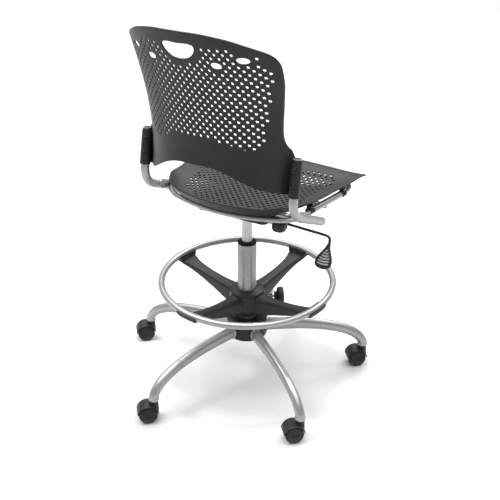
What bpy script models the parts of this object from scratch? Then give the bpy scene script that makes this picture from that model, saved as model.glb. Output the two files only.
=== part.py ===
# Drafting chair: perforated-plastic shell seat and back on a tubular frame,
# gas-lift column with an adjustable foot ring, five-leg base on twin-wheel casters.
# Frame while modelling: column axis on Z, floor at z = 0, +X the sitter's left,
# +Y towards the chair's back.  Dimensions below are millimetres and are turned
# into metres where a mesh is made.  At the end the whole chair is moved so that
# the middle of its plan outline is the origin.
import math
import bpy
import bmesh
from mathutils import Vector, Matrix

for ob in list(bpy.data.objects):
    bpy.data.objects.remove(ob, do_unlink=True)

MM = 0.001
GAP = 0.35                      # clearance between neighbouring pieces

# ---------------------------------------------------------------- dimensions
LEG_ANGLES = (-91.0, -19.0, 53.0, 125.0, 197.0)   # from +Y, towards -X
LEG_END_R = 329.0               # caster stems on this radius
LEG_END_Z = 62.0
HUB_R, HUB_LOW, HUB_TOP = 55.0, 129.0, 186.0

WHEEL_R, WHEEL_W = 25.0, 17.5   # twin wheels, 50 mm diameter
WEB_HALF = 4.0                  # half thickness of the plate between two wheels
TRAIL = 17.0                    # wheel axle behind the stem
TRAIL_DIR = Vector((0.773, 0.635, 0.0)).normalized()
HOOD_R = 28.7
STEM_R = 5.5

COLUMN_R, COLUMN_LOW, COLUMN_TOP = 25.0, 131.0, 410.0
BUSH_TOP = 412.6
PISTON_R = 14.0

RING_R, RING_TUBE_R, RING_Z = 230.3, 9.0, 296.6   # foot ring
RING_SEGMENTS = 48
ARM_ANGLES = (78.4, -11.6, 168.4, -101.6)
COLLAR_LOW, COLLAR_TOP = 198.0, 273.0
KNOB_ANGLE, KNOB_Z = 123.4, 240.0

PLATE_LOW, PLATE_UNDER, PLATE_TOP = 522.0, 528.7, 531.7   # seat mounting plate, flanged
SEAT_RING_Z, SEAT_RING_R = 556.0, 6.5
SIDE_SLEEVE_R = 8.0
BAR_R = 7.5
TUBE_R = 11.0                   # back uprights
SHELL = 5.0                     # wall of seat and back shells

LEVER_PIVOT = (-52.0, -9.3, 490.0)
LEVER_R = 3.5

# ---------------------------------------------------------------- materials
def material(name, colour, metallic, roughness):
    m = bpy.data.materials.new(name)
    m.use_nodes = True
    b = m.node_tree.nodes["Principled BSDF"]
    b.inputs["Base Color"].default_value = (*colour, 1.0)
    b.inputs["Metallic"].default_value = metallic
    b.inputs["Roughness"].default_value = roughness
    m.diffuse_color = (*colour, 1.0)
    return m

LOOKS = {
    "silver": ((0.60, 0.60, 0.59), 0.55, 0.38),
    "black": ((0.032, 0.032, 0.033), 0.0, 0.48),
    "wheel": ((0.028, 0.028, 0.029), 0.0, 0.55),
    "steel": ((0.62, 0.62, 0.63), 1.0, 0.28),
    "dark_steel": ((0.05, 0.05, 0.05), 0.6, 0.42),
    "grip": ((0.16, 0.16, 0.16), 0.0, 0.6),
}

# ---------------------------------------------------------------- mesh helpers
def rings_to_bm(rings, wrap=False, caps=True):
    """Closed skin over a list of equal-length point rings."""
    bm = bmesh.new()
    vs = [[bm.verts.new(Vector(p) * MM) for p in ring] for ring in rings]
    m, n = len(rings), len(rings[0])
    for i in range(m if wrap else m - 1):
        a, b = vs[i], vs[(i + 1) % m]
        for j in range(n):
            k = (j + 1) % n
            bm.faces.new((a[j], a[k], b[k], b[j]))
    if caps and not wrap:
        bm.faces.new(list(reversed(vs[0])))
        bm.faces.new(vs[-1])
    bmesh.ops.recalc_face_normals(bm, faces=bm.faces)
    return bm


def lathe(profile, n=24, closed=False, phase=0.0, lobes=0, lobe_depth=0.0):
    """Solid of revolution about Z.  Open profiles start and end on the axis."""
    rings = []
    for r, z in profile:
        ring = []
        for j in range(n):
            a = phase + 2 * math.pi * j / n
            rr = r * (1.0 + lobe_depth * math.cos(lobes * a)) if lobes else r
            ring.append((rr * math.cos(a), rr * math.sin(a), z))
        rings.append(ring)
    bm = rings_to_bm(rings, wrap=closed, caps=False)
    bmesh.ops.remove_doubles(bm, verts=bm.verts, dist=1e-7)
    bmesh.ops.recalc_face_normals(bm, faces=bm.faces)
    return bm


def circle(n, r, phase=0.0):
    return [(r * math.cos(phase + 2 * math.pi * j / n),
             r * math.sin(phase + 2 * math.pi * j / n)) for j in range(n)]


def tangents(points, wrap):
    out, m = [], len(points)
    for i in range(m):
        if wrap:
            a, b = points[i - 1], points[(i + 1) % m]
        else:
            a, b = points[max(i - 1, 0)], points[min(i + 1, m - 1)]
        out.append((b - a).normalized())
    return out


def sweep(points, sections, side=None, wrap=False):
    """Section (across, up) carried along a path.  `side` fixes the across
    direction of a path that lies in one plane; without it the frame is carried
    along the path without twisting."""
    points = [Vector(p) for p in points]
    tan = tangents(points, wrap)
    if not isinstance(sections[0][0], (tuple, list)):
        sections = [sections] * len(points)
    rings = []
    up = None
    for p, t, sec in zip(points, tan, sections):
        if side is not None:
            s = (Vector(side) - t * t.dot(Vector(side))).normalized()
            up = s.cross(t).normalized()
        else:
            if up is None:
                ref = Vector((0, 0, 1)) if abs(t.z) < 0.8 else Vector((1, 0, 0))
                up = (ref - t * t.dot(ref)).normalized()
            else:
                up = (up - t * t.dot(up)).normalized()
            s = t.cross(up)
        rings.append([p + s * a + up * b for a, b in sec])
    return rings_to_bm(rings, wrap=wrap)


def smooth_path(keys, count, wrap=False):
    """Catmull-Rom curve through key points, evenly sampled."""
    keys = [Vector(k) for k in keys]
    m = len(keys)
    spans = m if wrap else m - 1
    fine = []
    for i in range(spans):
        p1, p2 = keys[i % m], keys[(i + 1) % m]
        p0 = keys[(i - 1) % m] if wrap or i > 0 else p1 * 2 - p2
        p3 = keys[(i + 2) % m] if wrap or i + 2 < m else p2 * 2 - p1
        for k in range(24):
            t = k / 24.0
            fine.append(0.5 * ((2 * p1) + (p2 - p0) * t + (2 * p0 - 5 * p1 + 4 * p2 - p3) * t * t
                               + (3 * p1 - p0 - 3 * p2 + p3) * t ** 3))
    fine.append(keys[0].copy() if wrap else keys[-1].copy())
    run = [0.0]
    for a, b in zip(fine, fine[1:]):
        run.append(run[-1] + (b - a).length)
    out, j = [], 0
    total = run[-1]
    n = count if wrap else count - 1
    for i in range(count):
        d = total * i / n
        while j < len(run) - 2 and run[j + 1] < d:
            j += 1
        f = (d - run[j]) / max(run[j + 1] - run[j], 1e-9)
        out.append(fine[j].lerp(fine[j + 1], f))
    return out


def block(lo, hi, bevel=0.0, segments=1):
    bm = bmesh.new()
    bmesh.ops.create_cube(bm, size=1.0)
    for v in bm.verts:
        v.co = Vector([((lo[i] + hi[i]) / 2 + v.co[i] * (hi[i] - lo[i])) * MM for i in range(3)])
    if bevel:
        bmesh.ops.bevel(bm, geom=list(bm.edges), offset=bevel * MM, segments=segments,
                        profile=0.5, affect='EDGES')
    return bm


def prism(outline, lo, hi, axis):
    """Outline in the two other axes, extruded from lo to hi along `axis`."""
    def place(a, b, c):
        return (c, a, b) if axis == 0 else ((a, c, b) if axis == 1 else (a, b, c))
    return rings_to_bm([[place(a, b, lo) for a, b in outline], [place(a, b, hi) for a, b in outline]])


def moved(bm, matrix):
    """Rotate and move a bmesh; the matrix's translation is in millimetres."""
    m = matrix.copy()
    m.translation = m.translation * MM
    bmesh.ops.transform(bm, matrix=m, verts=bm.verts)
    return bm


def axis_matrix(origin, direction):
    """Local Z along `direction`, local origin at `origin`."""
    q = Vector(direction).normalized().to_track_quat('Z', 'Y')
    return Matrix.Translation(Vector(origin)) @ q.to_matrix().to_4x4()


def scratch(bm, name="scratch"):
    me = bpy.data.meshes.new(name)
    bm.to_mesh(me)
    bm.free()
    ob = bpy.data.objects.new(name, me)
    bpy.context.scene.collection.objects.link(ob)
    return ob


def combine(base, tool, operation):
    """Exact Boolean of two closed bmeshes, returned as a new bmesh."""
    a, b = scratch(base), scratch(tool)
    mod = a.modifiers.new("cut", 'BOOLEAN')
    mod.object = b
    mod.operation = operation
    mod.solver = 'EXACT'
    bpy.context.view_layer.update()
    dg = bpy.context.evaluated_depsgraph_get()
    me = bpy.data.meshes.new_from_object(a.evaluated_get(dg))
    out = bmesh.new()
    out.from_mesh(me)
    for ob in (a, b):
        old = ob.data
        bpy.data.objects.remove(ob, do_unlink=True)
        bpy.data.meshes.remove(old)
    bpy.data.meshes.remove(me)
    bmesh.ops.remove_doubles(out, verts=out.verts, dist=2e-6)
    bmesh.ops.dissolve_degenerate(out, edges=out.edges, dist=2e-6)
    return out


def piece(name, bm, look, origin=(0, 0, 0), angle=35.0):
    """Finish a bmesh as a named object whose origin is at `origin` (mm)."""
    bmesh.ops.recalc_face_normals(bm, faces=bm.faces)
    o = Vector(origin) * MM
    bmesh.ops.translate(bm, vec=-o, verts=bm.verts)
    me = bpy.data.meshes.new(name)
    bm.to_mesh(me)
    bm.free()
    me.shade_smooth()
    me.set_sharp_from_angle(angle=math.radians(angle))
    me.materials.append(material(name, *LOOKS[look]))
    ob = bpy.data.objects.new(name, me)
    ob.location = o
    bpy.context.scene.collection.objects.link(ob)
    return ob


def radial(angle):
    a = math.radians(angle)
    return Vector((-math.sin(a), math.cos(a), 0.0))


def across(angle):
    a = math.radians(angle)
    return Vector((math.cos(a), math.sin(a), 0.0))


def table(keys, x):
    """Straight-line reading of a short list of (x, value) control points."""
    if x <= keys[0][0]:
        return keys[0][1]
    for (x0, y0), (x1, y1) in zip(keys, keys[1:]):
        if x <= x1:
            return y0 + (y1 - y0) * (x - x0) / (x1 - x0)
    return keys[-1][1]

# ================================================================ base
piece("base_hub", lathe([(COLUMN_R + GAP, HUB_LOW), (HUB_R - 3, HUB_LOW), (HUB_R, HUB_LOW + 3),
                         (HUB_R, HUB_TOP - 5), (HUB_R - 1.5, HUB_TOP - 1.5), (HUB_R - 5, HUB_TOP),
                         (COLUMN_R + GAP, HUB_TOP)], 24, closed=True), "black")

# Leg centre line in its own vertical plane: (radius, height, half width, half height)
LEG_LINE = ((HUB_R + GAP, 150.0, 12.5, 19.0), (100.0, 149.0, 12.3, 18.5), (150.0, 146.0, 12.1, 17.3),
            (200.0, 139.0, 12.0, 16.2), (232.0, 133.0, 12.0, 15.5), (261.0, 124.5, 12.0, 14.8),
            (290.0, 111.5, 12.2, 14.0), (311.0, 97.0, 12.5, 13.4), (323.5, 82.0, 12.8, 13.0),
            (LEG_END_R, 70.0, 13.0, 13.0), (LEG_END_R, LEG_END_Z, 13.0, 13.0))
for k, ang in enumerate(LEG_ANGLES, 1):
    d = radial(ang)
    pts = [d * r + Vector((0, 0, z)) for r, z, _w, _h in LEG_LINE]
    secs = [[(w * math.cos(2 * math.pi * j / 10), h * math.sin(2 * math.pi * j / 10)) for j in range(10)]
            for _r, _z, w, h in LEG_LINE]
    bm = sweep(pts, secs, side=across(ang))
    # square both ends off: upright at the hub, level at the caster socket
    bm.verts.ensure_lookup_table()
    for v in bm.verts[:10]:
        q = v.co - d * v.co.dot(d)
        v.co = q + d * (HUB_R + GAP) * MM
    for v in bm.verts[-10:]:
        v.co.z = LEG_END_Z * MM
    socket = moved(lathe([(0, -6), (STEM_R + GAP, -6), (STEM_R + GAP, 26), (0, 26)], 12),
                   Matrix.Translation(d * LEG_END_R + Vector((0, 0, LEG_END_Z))))
    bm = combine(bm, socket, 'DIFFERENCE')
    piece("leg_%d" % k, bm, "silver")

# ================================================================ casters
def caster_body():
    """Hood, web plate, stem and axle as one moulding; local X trails, local Y is
    the axle direction, local origin under the stem on the floor."""
    turn = Matrix.Rotation(math.radians(90), 4, 'X')

    def drum(r, half, n=16):
        return moved(lathe([(0, -half), (r, -half), (r, half), (0, half)], n,
                           phase=math.pi / n),
                     Matrix.Translation((TRAIL, 0, WHEEL_R)) @ turn)
    body = drum(HOOD_R, 21.0)
    below = block((TRAIL - 40, -30, -10), (TRAIL + 40, 30, 29.0))
    body = combine(body, below, 'DIFFERENCE')
    neck = lathe([(0, 30), (11.5, 30), (11.5, LEG_END_Z - 1.5), (10.5, LEG_END_Z - 0.5),
                  (STEM_R, LEG_END_Z - 0.5), (STEM_R, 84.0), (STEM_R - 1, 85.5), (0, 85.5)], 12)
    body = combine(body, neck, 'UNION')
    body = combine(body, drum(20.0, WEB_HALF - 0.2, 16), 'UNION')
    for s in (1, -1):
        room = moved(lathe([(0, 0), (26.4, 0), (26.4, 30), (0, 30)], 16, phase=math.pi / 16),
                     Matrix.Translation((TRAIL, s * WEB_HALF, WHEEL_R))
                     @ Matrix.Rotation(math.radians(-90 * s), 4, 'X'))
        body = combine(body, room, 'DIFFERENCE')
    axle = drum(3.5, WEB_HALF + WHEEL_W - 4.0, 8)
    return combine(body, axle, 'UNION')


def wheel_bm(s):
    """One wheel, blind-bored from the web side; s = +1 or -1 picks the side."""
    w0, w1 = WEB_HALF + 0.5, WEB_HALF + 0.5 + WHEEL_W
    r = WHEEL_R / math.cos(math.pi / 16)
    prof = [(0, w1 - 3.0), (3.9, w1 - 3.0), (3.9, w0), (r - 1.5, w0), (r, w0 + 1.5), (r, w1 - 3.0),
            (r - 2.5, w1 - 0.4), (r - 7, w1), (0, w1)]
    bm = lathe(prof, 16, phase=math.pi / 16)
    return moved(bm, Matrix.Rotation(math.radians(-90 * s), 4, 'X'))


yaw = math.atan2(TRAIL_DIR.y, TRAIL_DIR.x)
for k, ang in enumerate(LEG_ANGLES, 1):
    foot = radial(ang) * LEG_END_R
    place = Matrix.Translation(foot) @ Matrix.Rotation(yaw, 4, 'Z')
    piece("caster_hood_%d" % k, moved(caster_body(), place), "black", origin=foot)
    for s, tag in ((1, "a"), (-1, "b")):
        hub = place @ Vector((TRAIL, 0, WHEEL_R))
        bm = moved(wheel_bm(s), place @ Matrix.Translation((TRAIL, 0, WHEEL_R)))
        piece("caster_wheel_%d%s" % (k, tag), bm, "wheel", origin=hub)

# ================================================================ column
piece("column_tube", lathe([(22.6, COLUMN_TOP - 0.6), (COLUMN_R, COLUMN_TOP - 0.6), (COLUMN_R, COLUMN_LOW),
                            (6, COLUMN_LOW), (6, COLUMN_LOW + 4), (22.6, COLUMN_LOW + 4)], 24, closed=True), "silver")
piece("column_bush", lathe([(PISTON_R + GAP, BUSH_TOP), (24.3, BUSH_TOP), (25.4, BUSH_TOP - 1), (25.4, COLUMN_TOP),
                            (22.2, COLUMN_TOP), (22.2, 330), (PISTON_R + GAP, 330)], 24, closed=True), "black")
piece("gas_piston", lathe([(0, 182), (PISTON_R - 1, 182), (PISTON_R, 183), (PISTON_R, 480), (13.2, 504),
                           (4 + GAP, 504), (4 + GAP, 494), (0, 494)], 24), "steel", origin=(0, 0, 410))
piece("release_button", lathe([(0, 499.3), (4, 499.3), (4, 510), (3.4, 511), (0, 511)], 24),
      "dark_steel", origin=(0, 0, 504))

# ================================================================ foot ring
ring_phase = math.radians(ARM_ANGLES[0] + 90)
section = circle(8, RING_TUBE_R, math.pi / 8)
piece("footring", lathe([(RING_R + a, RING_Z + b) for a, b in section], RING_SEGMENTS, closed=True,
                        phase=ring_phase), "silver", origin=(0, 0, RING_Z))

spider = lathe([(COLUMN_R + GAP, COLLAR_LOW), (34, COLLAR_LOW), (39, COLLAR_LOW + 5), (46, COLLAR_LOW + 20), (47, 266),
                (45, 269), (29, COLLAR_TOP), (COLUMN_R + GAP, COLLAR_TOP)], 24, closed=True)
clip_out = RING_TUBE_R + 4.2
clip_in = (RING_TUBE_R + GAP) / 1.0
# saddle section under the tube: outer and inner half rounds in (radius, height)
half = [math.radians(a) for a in (180.0, 202.5, 247.5, 292.5, 337.5, 360.0)]
flat = math.cos(math.pi / 8)
inner_half = [(clip_in * math.cos(a), clip_in * math.sin(a)) for a in
              (math.radians(q) for q in (202.5, 247.5, 292.5, 337.5))]
saddle = [(-clip_out, 4.5), (-clip_out, -4.0), (-clip_out * 0.7, -clip_out * 0.78), (0, -clip_out),
          (clip_out * 0.7, -clip_out * 0.78), (clip_out, -4.0), (clip_out, 4.5),
          (clip_in * flat + 0.02, 4.5)] + list(reversed(inner_half)) + [(-clip_in * flat - 0.02, 4.5)]
for ang in ARM_ANGLES:
    d, s = radial(ang), across(ang)
    # (radius, top, bottom, half width): broad at the collar, waisted, flared at the ring
    line = ((38, 264, 208, 21), (62, 262, 212, 19.5), (95, 264.5, 225, 16.5), (130, 269, 238, 15),
            (160, 273, 250, 15.5), (188, 277.5, 262, 18), (206, 281.5, 270, 22.5), (222, 285.5, 277, 28.5))
    rings = []
    for r, top, low, w in line:
        c = min(4.0, (top - low) * 0.25)
        sec = ((-w, low + c), (-w + c, low), (w - c, low), (w, low + c), (w, top - c), (w - c, top),
               (-w + c, top), (-w, top - c))
        rings.append([d * r + s * a + Vector((0, 0, b)) for a, b in sec])
    spider = combine(spider, rings_to_bm(rings), 'UNION')
    rings = []
    for k in (-1, 0, 1):
        a = ang + k * 360.0 / RING_SEGMENTS * 1.0
        dd = radial(a)
        rings.append([dd * (RING_R + p) + Vector((0, 0, RING_Z + q)) for p, q in saddle])
    spider = combine(spider, rings_to_bm(rings), 'UNION')
# clear the tube itself out of the arm ends, and the clamp screw's hole
groove = lathe([(RING_R + a, RING_Z + b) for a, b in circle(8, RING_TUBE_R + GAP, math.pi / 8)],
               RING_SEGMENTS, closed=True, phase=ring_phase)
spider = combine(spider, groove, 'DIFFERENCE')
kd = radial(KNOB_ANGLE)
kz = Vector((0, 0, KNOB_Z))
hole = moved(lathe([(0, 20), (3.4, 20), (3.4, 60), (0, 60)], 8), axis_matrix(kz, kd))
spider = combine(spider, hole, 'DIFFERENCE')
piece("footring_spider", spider, "black", origin=(0, 0, RING_Z))
piece("knob_stud", moved(lathe([(0, 26.2), (3, 26.2), (3, 88), (0, 88)], 8), axis_matrix(kz, kd)), "steel",
      origin=kd * 60 + kz)
piece("footring_knob", moved(lathe([(0, 90), (3.4, 90), (3.4, 74), (13, 74), (13, 80), (22, 82), (24, 84.5),
                                    (24, 97), (22, 99.5), (12, 100), (0, 100)], 20, lobes=5, lobe_depth=0.045),
                             axis_matrix(kz, kd)), "black", origin=kd * 60 + kz)

# ================================================================ seat mechanism
plate = block((-100, -92, PLATE_LOW), (100, 88, PLATE_TOP))
vertical = [e for e in plate.edges if abs(e.verts[0].co.z - e.verts[1].co.z) > 1e-4]
bmesh.ops.bevel(plate, geom=vertical, offset=14 * MM, segments=3, profile=0.5, affect='EDGES')
tray = block((-97, -89, PLATE_LOW - 5), (97, 85, PLATE_UNDER))
vertical = [e for e in tray.edges if abs(e.verts[0].co.z - e.verts[1].co.z) > 1e-4]
bmesh.ops.bevel(tray, geom=vertical, offset=11 * MM, segments=3, profile=0.5, affect='EDGES')
piece("mech_plate", combine(plate, tray, 'DIFFERENCE'), "dark_steel")

housing = block((-62, -75, 507), (62, 62, PLATE_UNDER - GAP))
vertical = [e for e in housing.edges if abs(e.verts[0].co.z - e.verts[1].co.z) > 1e-4]
bmesh.ops.bevel(housing, geom=vertical, offset=10 * MM, segments=2, profile=0.5, affect='EDGES')
KNOB_C = (38.0, 508.0)                                  # tension knob axis (y, z)
knob_axis = axis_matrix((0, KNOB_C[0], KNOB_C[1]), (-1, 0, 0))
housing = combine(housing, moved(lathe([(0, 30), (8.5, 30), (8.5, 61.5), (0, 61.5)], 12), knob_axis), 'UNION')
housing = combine(housing, block((-57, -70, 510), (57, 57, 540)), 'DIFFERENCE')
housing = combine(housing, lathe([(0, 485), (20, 485), (24, 499), (24, 507.6), (0, 507.6)], 16), 'UNION')
# two lugs under the floor carry the lever
for y0, y1 in ((-17.2, -14.2), (-4.4, -1.4)):
    housing = combine(housing, block((-58, y0, 484), (-46.5, y1, 508.4)), 'UNION')
housing = combine(housing, lathe([(0, 470), (PISTON_R + GAP, 470), (PISTON_R + GAP, 530), (0, 530)], 24), 'DIFFERENCE')
housing = combine(housing, block((-46, -13, 504.5), (-8, 4, 513)), 'DIFFERENCE')
housing = combine(housing, moved(lathe([(0, 39.4), (5.4, 39.4), (5.4, 70), (0, 70)], 10), knob_axis), 'DIFFERENCE')
piece("mech_housing", housing, "dark_steel")
knob_org = (-100.0, KNOB_C[0], KNOB_C[1])
piece("tension_bolt", moved(lathe([(0, 40), (5, 40), (5, 116), (0, 116)], 10), knob_axis), "steel", origin=knob_org)
piece("tension_knob", moved(lathe([(0, 118), (5.4, 118), (5.4, 100.8), (18.5, 100.8), (21, 103.5), (21, 121), (17.5, 129),
                                   (10, 132.5), (0, 133.5)], 20), knob_axis), "black", origin=knob_org)

# release lever: pusher arm over the button, pivot, long rod, bend, paddle
NECK = Vector((-240.3, 13.5, 470.0))
lever_keys = [(1, 0, 515), (-18, -2, 515), (-30, -4.5, 514), (-42, -7.5, 502), (-52, -9.3, 492), (-66, -9.2, 490),
              (-120, -4.4, 490), (-180, 0.7, 490), (-228, 4.8, 490), (-238, 6.6, 487), (-240.2, 9.2, 480.5),
              tuple(NECK)]
piece("lever_rod", sweep([Vector(k) for k in lever_keys], circle(8, LEVER_R)), "dark_steel", origin=LEVER_PIVOT)
PAD_DIR = Vector((0.0, 0.67, -0.742)).normalized()
PAD_NRM = Vector((0.0, 0.742, 0.67)).normalized()
pad_pts = ((0.0, 6.0, 5.6), (8.0, 6.6, 5.6), (16.0, 10.5, 5.2), (28.0, 16.5, 5.0), (40.0, 21.0, 5.0), (52.0, 22.5, 4.8),
           (60.0, 19.0, 4.2), (65.0, 11.5, 3.2))
pad_start = NECK - PAD_DIR * 3.0
rings = []
for dist, w, h in pad_pts:
    c = pad_start + PAD_DIR * dist
    rings.append([c + Vector((1, 0, 0)) * (w * math.cos(a)) + PAD_NRM * (h * math.sin(a))
                  for a in (2 * math.pi * j / 12 for j in range(12))])
rod_dir = (NECK - Vector((-240.2, 9.2, 480.5))).normalized()
paddle = combine(rings_to_bm(rings), moved(lathe([(0, -14), (LEVER_R + GAP + 0.6, -14), (LEVER_R + GAP + 0.6, 1.0),
                                                 (0, 1.0)], 8), axis_matrix(NECK, rod_dir)), 'DIFFERENCE')
piece("lever_paddle", paddle, "grip", origin=LEVER_PIVOT)

# ================================================================ seat frame
def rear_rail(x):
    return 134.0 - 49.0 * (x / 185.0) ** 2

half_loop = [(0, rear_rail(0)), (60, rear_rail(60)), (115, rear_rail(115)), (152, rear_rail(152)), (174, 85),
             (186.5, 70), (188.5, 48), (191, 15), (203.5, -45), (216, -105), (220, -135), (214, -160), (192, -172),
             (120, -176), (60, -177)]
loop = [(x, y, SEAT_RING_Z) for x, y in half_loop] + [(0, -177, SEAT_RING_Z)] + \
       [(-x, y, SEAT_RING_Z) for x, y in reversed(half_loop[1:])]
path = smooth_path(loop, 46, wrap=True)
tube = circle(6, SEAT_RING_R, 0.0)
piece("seat_ring", rings_to_bm([[p + t.cross(Vector((0, 0, 1))) * a + Vector((0, 0, b)) for a, b in tube]
                                for p, t in zip(path, tangents(path, True))], wrap=True), "silver")
for s, tag in ((1, "left"), (-1, "right")):
    a, b = Vector((s * 191.6, 12, SEAT_RING_Z)), Vector((s * 215.2, -101, SEAT_RING_Z))
    rng = [(SEAT_RING_R + 0.55, 0.0), (SIDE_SLEEVE_R + 0.6, 0.0), (SIDE_SLEEVE_R + 0.6, (b - a).length),
           (SEAT_RING_R + 0.55, (b - a).length)]
    piece("side_sleeve_" + tag, moved(lathe(rng, 12, closed=True, phase=math.pi / 12), axis_matrix(a, b - a)), "silver")
for y, tag in ((45.0, "rear"), (-55.0, "front")):
    zc = SEAT_RING_Z - SIDE_SLEEVE_R - 0.6 - BAR_R - GAP
    x1 = 190.0 if y > 0 else 205.0
    piece("cross_bar_" + tag, moved(lathe([(0, -x1), (BAR_R, -x1), (BAR_R, x1), (0, x1)], 12, phase=math.pi / 12),
                                    axis_matrix((0, y, zc), (1, 0, 0))), "silver")

# gussets between the ring's rear corners and the back tubes' lower runs
gus = [(102, 567), (102, 583), (98, 586.5), (86, 584), (66, 574), (52, 568.5), (44, 566), (42, 563), (42, 554), (45, 552),
       (60, 554), (84, 560)]
for s, tag in ((1, "left"), (-1, "right")):
    x0, x1 = sorted((s * 195.9, s * 197.6))
    piece("gusset_" + tag, prism(gus, x0, x1, 0), "silver")

# back uprights: up the back shell's sleeves, round a bend and forward as capped stubs
UP = [(205.0, 134.0, 733.0), (206, 139, 708), (206, 151, 649), (206, 152.4, 636), (206.3, 151.2, 624), (206.8, 146.8, 611.5),
      (207.3, 138.8, 599), (208, 128, 589), (208.4, 117, 582), (209, 97, 572), (210, 73, 561), (211, 50, 549),
      (212, 27, 537), (214, 4, 526)]
stub_dir = (Vector(UP[-1]) - Vector(UP[-3])).normalized()
for s, tag in ((1, "left"), (-1, "right")):
    pts = [Vector((s * x, y, z)) for x, y, z in UP]
    sd = Vector((s * stub_dir.x, stub_dir.y, stub_dir.z))
    pts[-1] = pts[-1] - sd * 4.0
    bm = sweep(pts, circle(12, TUBE_R))
    piece("upright_" + tag, bm, "silver")
    end = pts[-1] + sd * GAP
    piece("end_cap_" + tag, moved(lathe([(0, 0), (TUBE_R, 0), (TUBE_R, 1.6), (9.6, 4.6), (5.5, 6.2), (0, 6.6)], 12),
                                  axis_matrix(end, sd)), "silver")

# ================================================================ seat shell
REAR_W, FRONT_W, FRONT_Y = 158.0, 250.0, -187.0
SIDE_KEYS = ((-187.0, 250.0), (-150.0, 238.0), (-80.0, 215.0), (0.0, 195.0), (60.0, 184.0), (85.0, 178.0),
             (110.0, 165.0), (122.0, 158.0))

def seat_rear(x):
    return 163.0 - 1.65e-3 * x * x

def seat_front(x):
    return -206.0 + 19.0 * (x / FRONT_W) ** 2

def seat_half(y):
    return table(SIDE_KEYS, y)

def seat_height(x, y):
    r = min(1.0, max(0.0, 1.0 - (seat_rear(x) - y) / 60.0))
    s = min(1.0, abs(x) / max(seat_half(y), 1.0))
    f = max(0.0, min(1.0, 1.0 - (y - seat_front(x)) / 130.0))
    lip = max(0.0, 1.0 - (y - seat_front(x)) / 28.0)
    a, b, c = 40.0 * r ** 1.6, 24.0 * s ** 3.0, 26.0 * f * f * (3 - 2 * f)
    return 558.0 + (a ** 3 + b ** 3 + c ** 3) ** (1 / 3.0) - 4.0 * lip * lip

def seat_plan(u, v):
    """Coons patch over the seat outline: u across (-1..1), v rear to front."""
    q = (u + 1) / 2
    x_r = REAR_W * u
    rear = Vector((x_r, seat_rear(x_r)))
    x_f = FRONT_W * u
    front = Vector((x_f, seat_front(x_f)))
    y0 = seat_rear(REAR_W)
    ys = y0 + (FRONT_Y - y0) * v
    right, left = Vector((seat_half(ys), ys)), Vector((-seat_half(ys), ys))
    c00, c10 = Vector((-REAR_W, y0)), Vector((REAR_W, y0))
    c01, c11 = Vector((-FRONT_W, FRONT_Y)), Vector((FRONT_W, FRONT_Y))
    p = rear * (1 - v) + front * v + left * (1 - q) + right * q
    return p - (c00 * (1 - q) * (1 - v) + c10 * q * (1 - v) + c01 * (1 - q) * v + c11 * q * v)

def shell_bm(point, us, vs, thick):
    """Closed shell: a surface and its copy set back along the surface normal."""
    e = 1e-3
    grid, back = [], []
    for v in vs:
        row, brow = [], []
        for u in us:
            p = point(u, v)
            du = point(min(u + e, 1), v) - point(max(u - e, -1), v)
            dv = point(u, min(v + e, 1)) - point(u, max(v - e, 0))
            n = du.cross(dv).normalized()
            row.append(p)
            brow.append(p - n * thick)
        grid.append(row)
        back.append(brow)
    bm = bmesh.new()
    A = [[bm.verts.new(p * MM) for p in row] for row in grid]
    B = [[bm.verts.new(p * MM) for p in row] for row in back]
    nv, nu = len(vs), len(us)
    for i in range(nv - 1):
        for j in range(nu - 1):
            bm.faces.new((A[i][j], A[i][j + 1], A[i + 1][j + 1], A[i + 1][j]))
            bm.faces.new((B[i][j], B[i + 1][j], B[i + 1][j + 1], B[i][j + 1]))
    for j in range(nu - 1):
        bm.faces.new((A[0][j], B[0][j], B[0][j + 1], A[0][j + 1]))
        bm.faces.new((A[-1][j], A[-1][j + 1], B[-1][j + 1], B[-1][j]))
    for i in range(nv - 1):
        bm.faces.new((A[i][0], A[i + 1][0], B[i + 1][0], B[i][0]))
        bm.faces.new((A[i][-1], B[i][-1], B[i + 1][-1], A[i + 1][-1]))
    bmesh.ops.recalc_face_normals(bm, faces=bm.faces)
    return bm

def seat_point(u, v):
    p = seat_plan(u, v)
    return Vector((p.x, p.y, seat_height(p.x, p.y)))

def spread(n, power=1.5):
    """Parameters from -1 to 1, closer together towards the ends."""
    out = []
    for i in range(n):
        t = -1 + 2 * i / (n - 1)
        out.append(math.copysign(1 - (1 - abs(t)) ** power, t))
    return out

seat = shell_bm(lambda u, v: seat_point(u, v), spread(13), [(w + 1) / 2 for w in spread(13)], -SHELL)
low = min(v.co.z for v in seat.verts)
top = max(v.co.z for v in seat.verts)
if seat_point(0, 0.5).z * MM - low < 3 * MM:            # wall must lie below the sitting surface
    seat.free()
    seat = shell_bm(lambda u, v: seat_point(u, v), spread(13), [(w + 1) / 2 for w in spread(13)], SHELL)
piece("seat_shell", seat, "black", angle=50)

for s, tag in ((1, "left"), (-1, "right")):
    for x, y, end in ((188.0, 18.0, "rear"), (214.5, -113.0, "front")):
        under = min(seat_height(x + dx, y + dy) for dx in (-7, 0, 7) for dy in (-7, 0, 7)) - SHELL - 1.6
        lo = (min(s * (x - 7), s * (x + 7)), y - 7, SEAT_RING_Z + SIDE_SLEEVE_R + 0.6 + GAP)
        hi = (max(s * (x - 7), s * (x + 7)), y + 7, min(under, 578.0))
        piece("seat_clip_%s_%s" % (end, tag), block(lo, hi, 1.2), "black")

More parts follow.
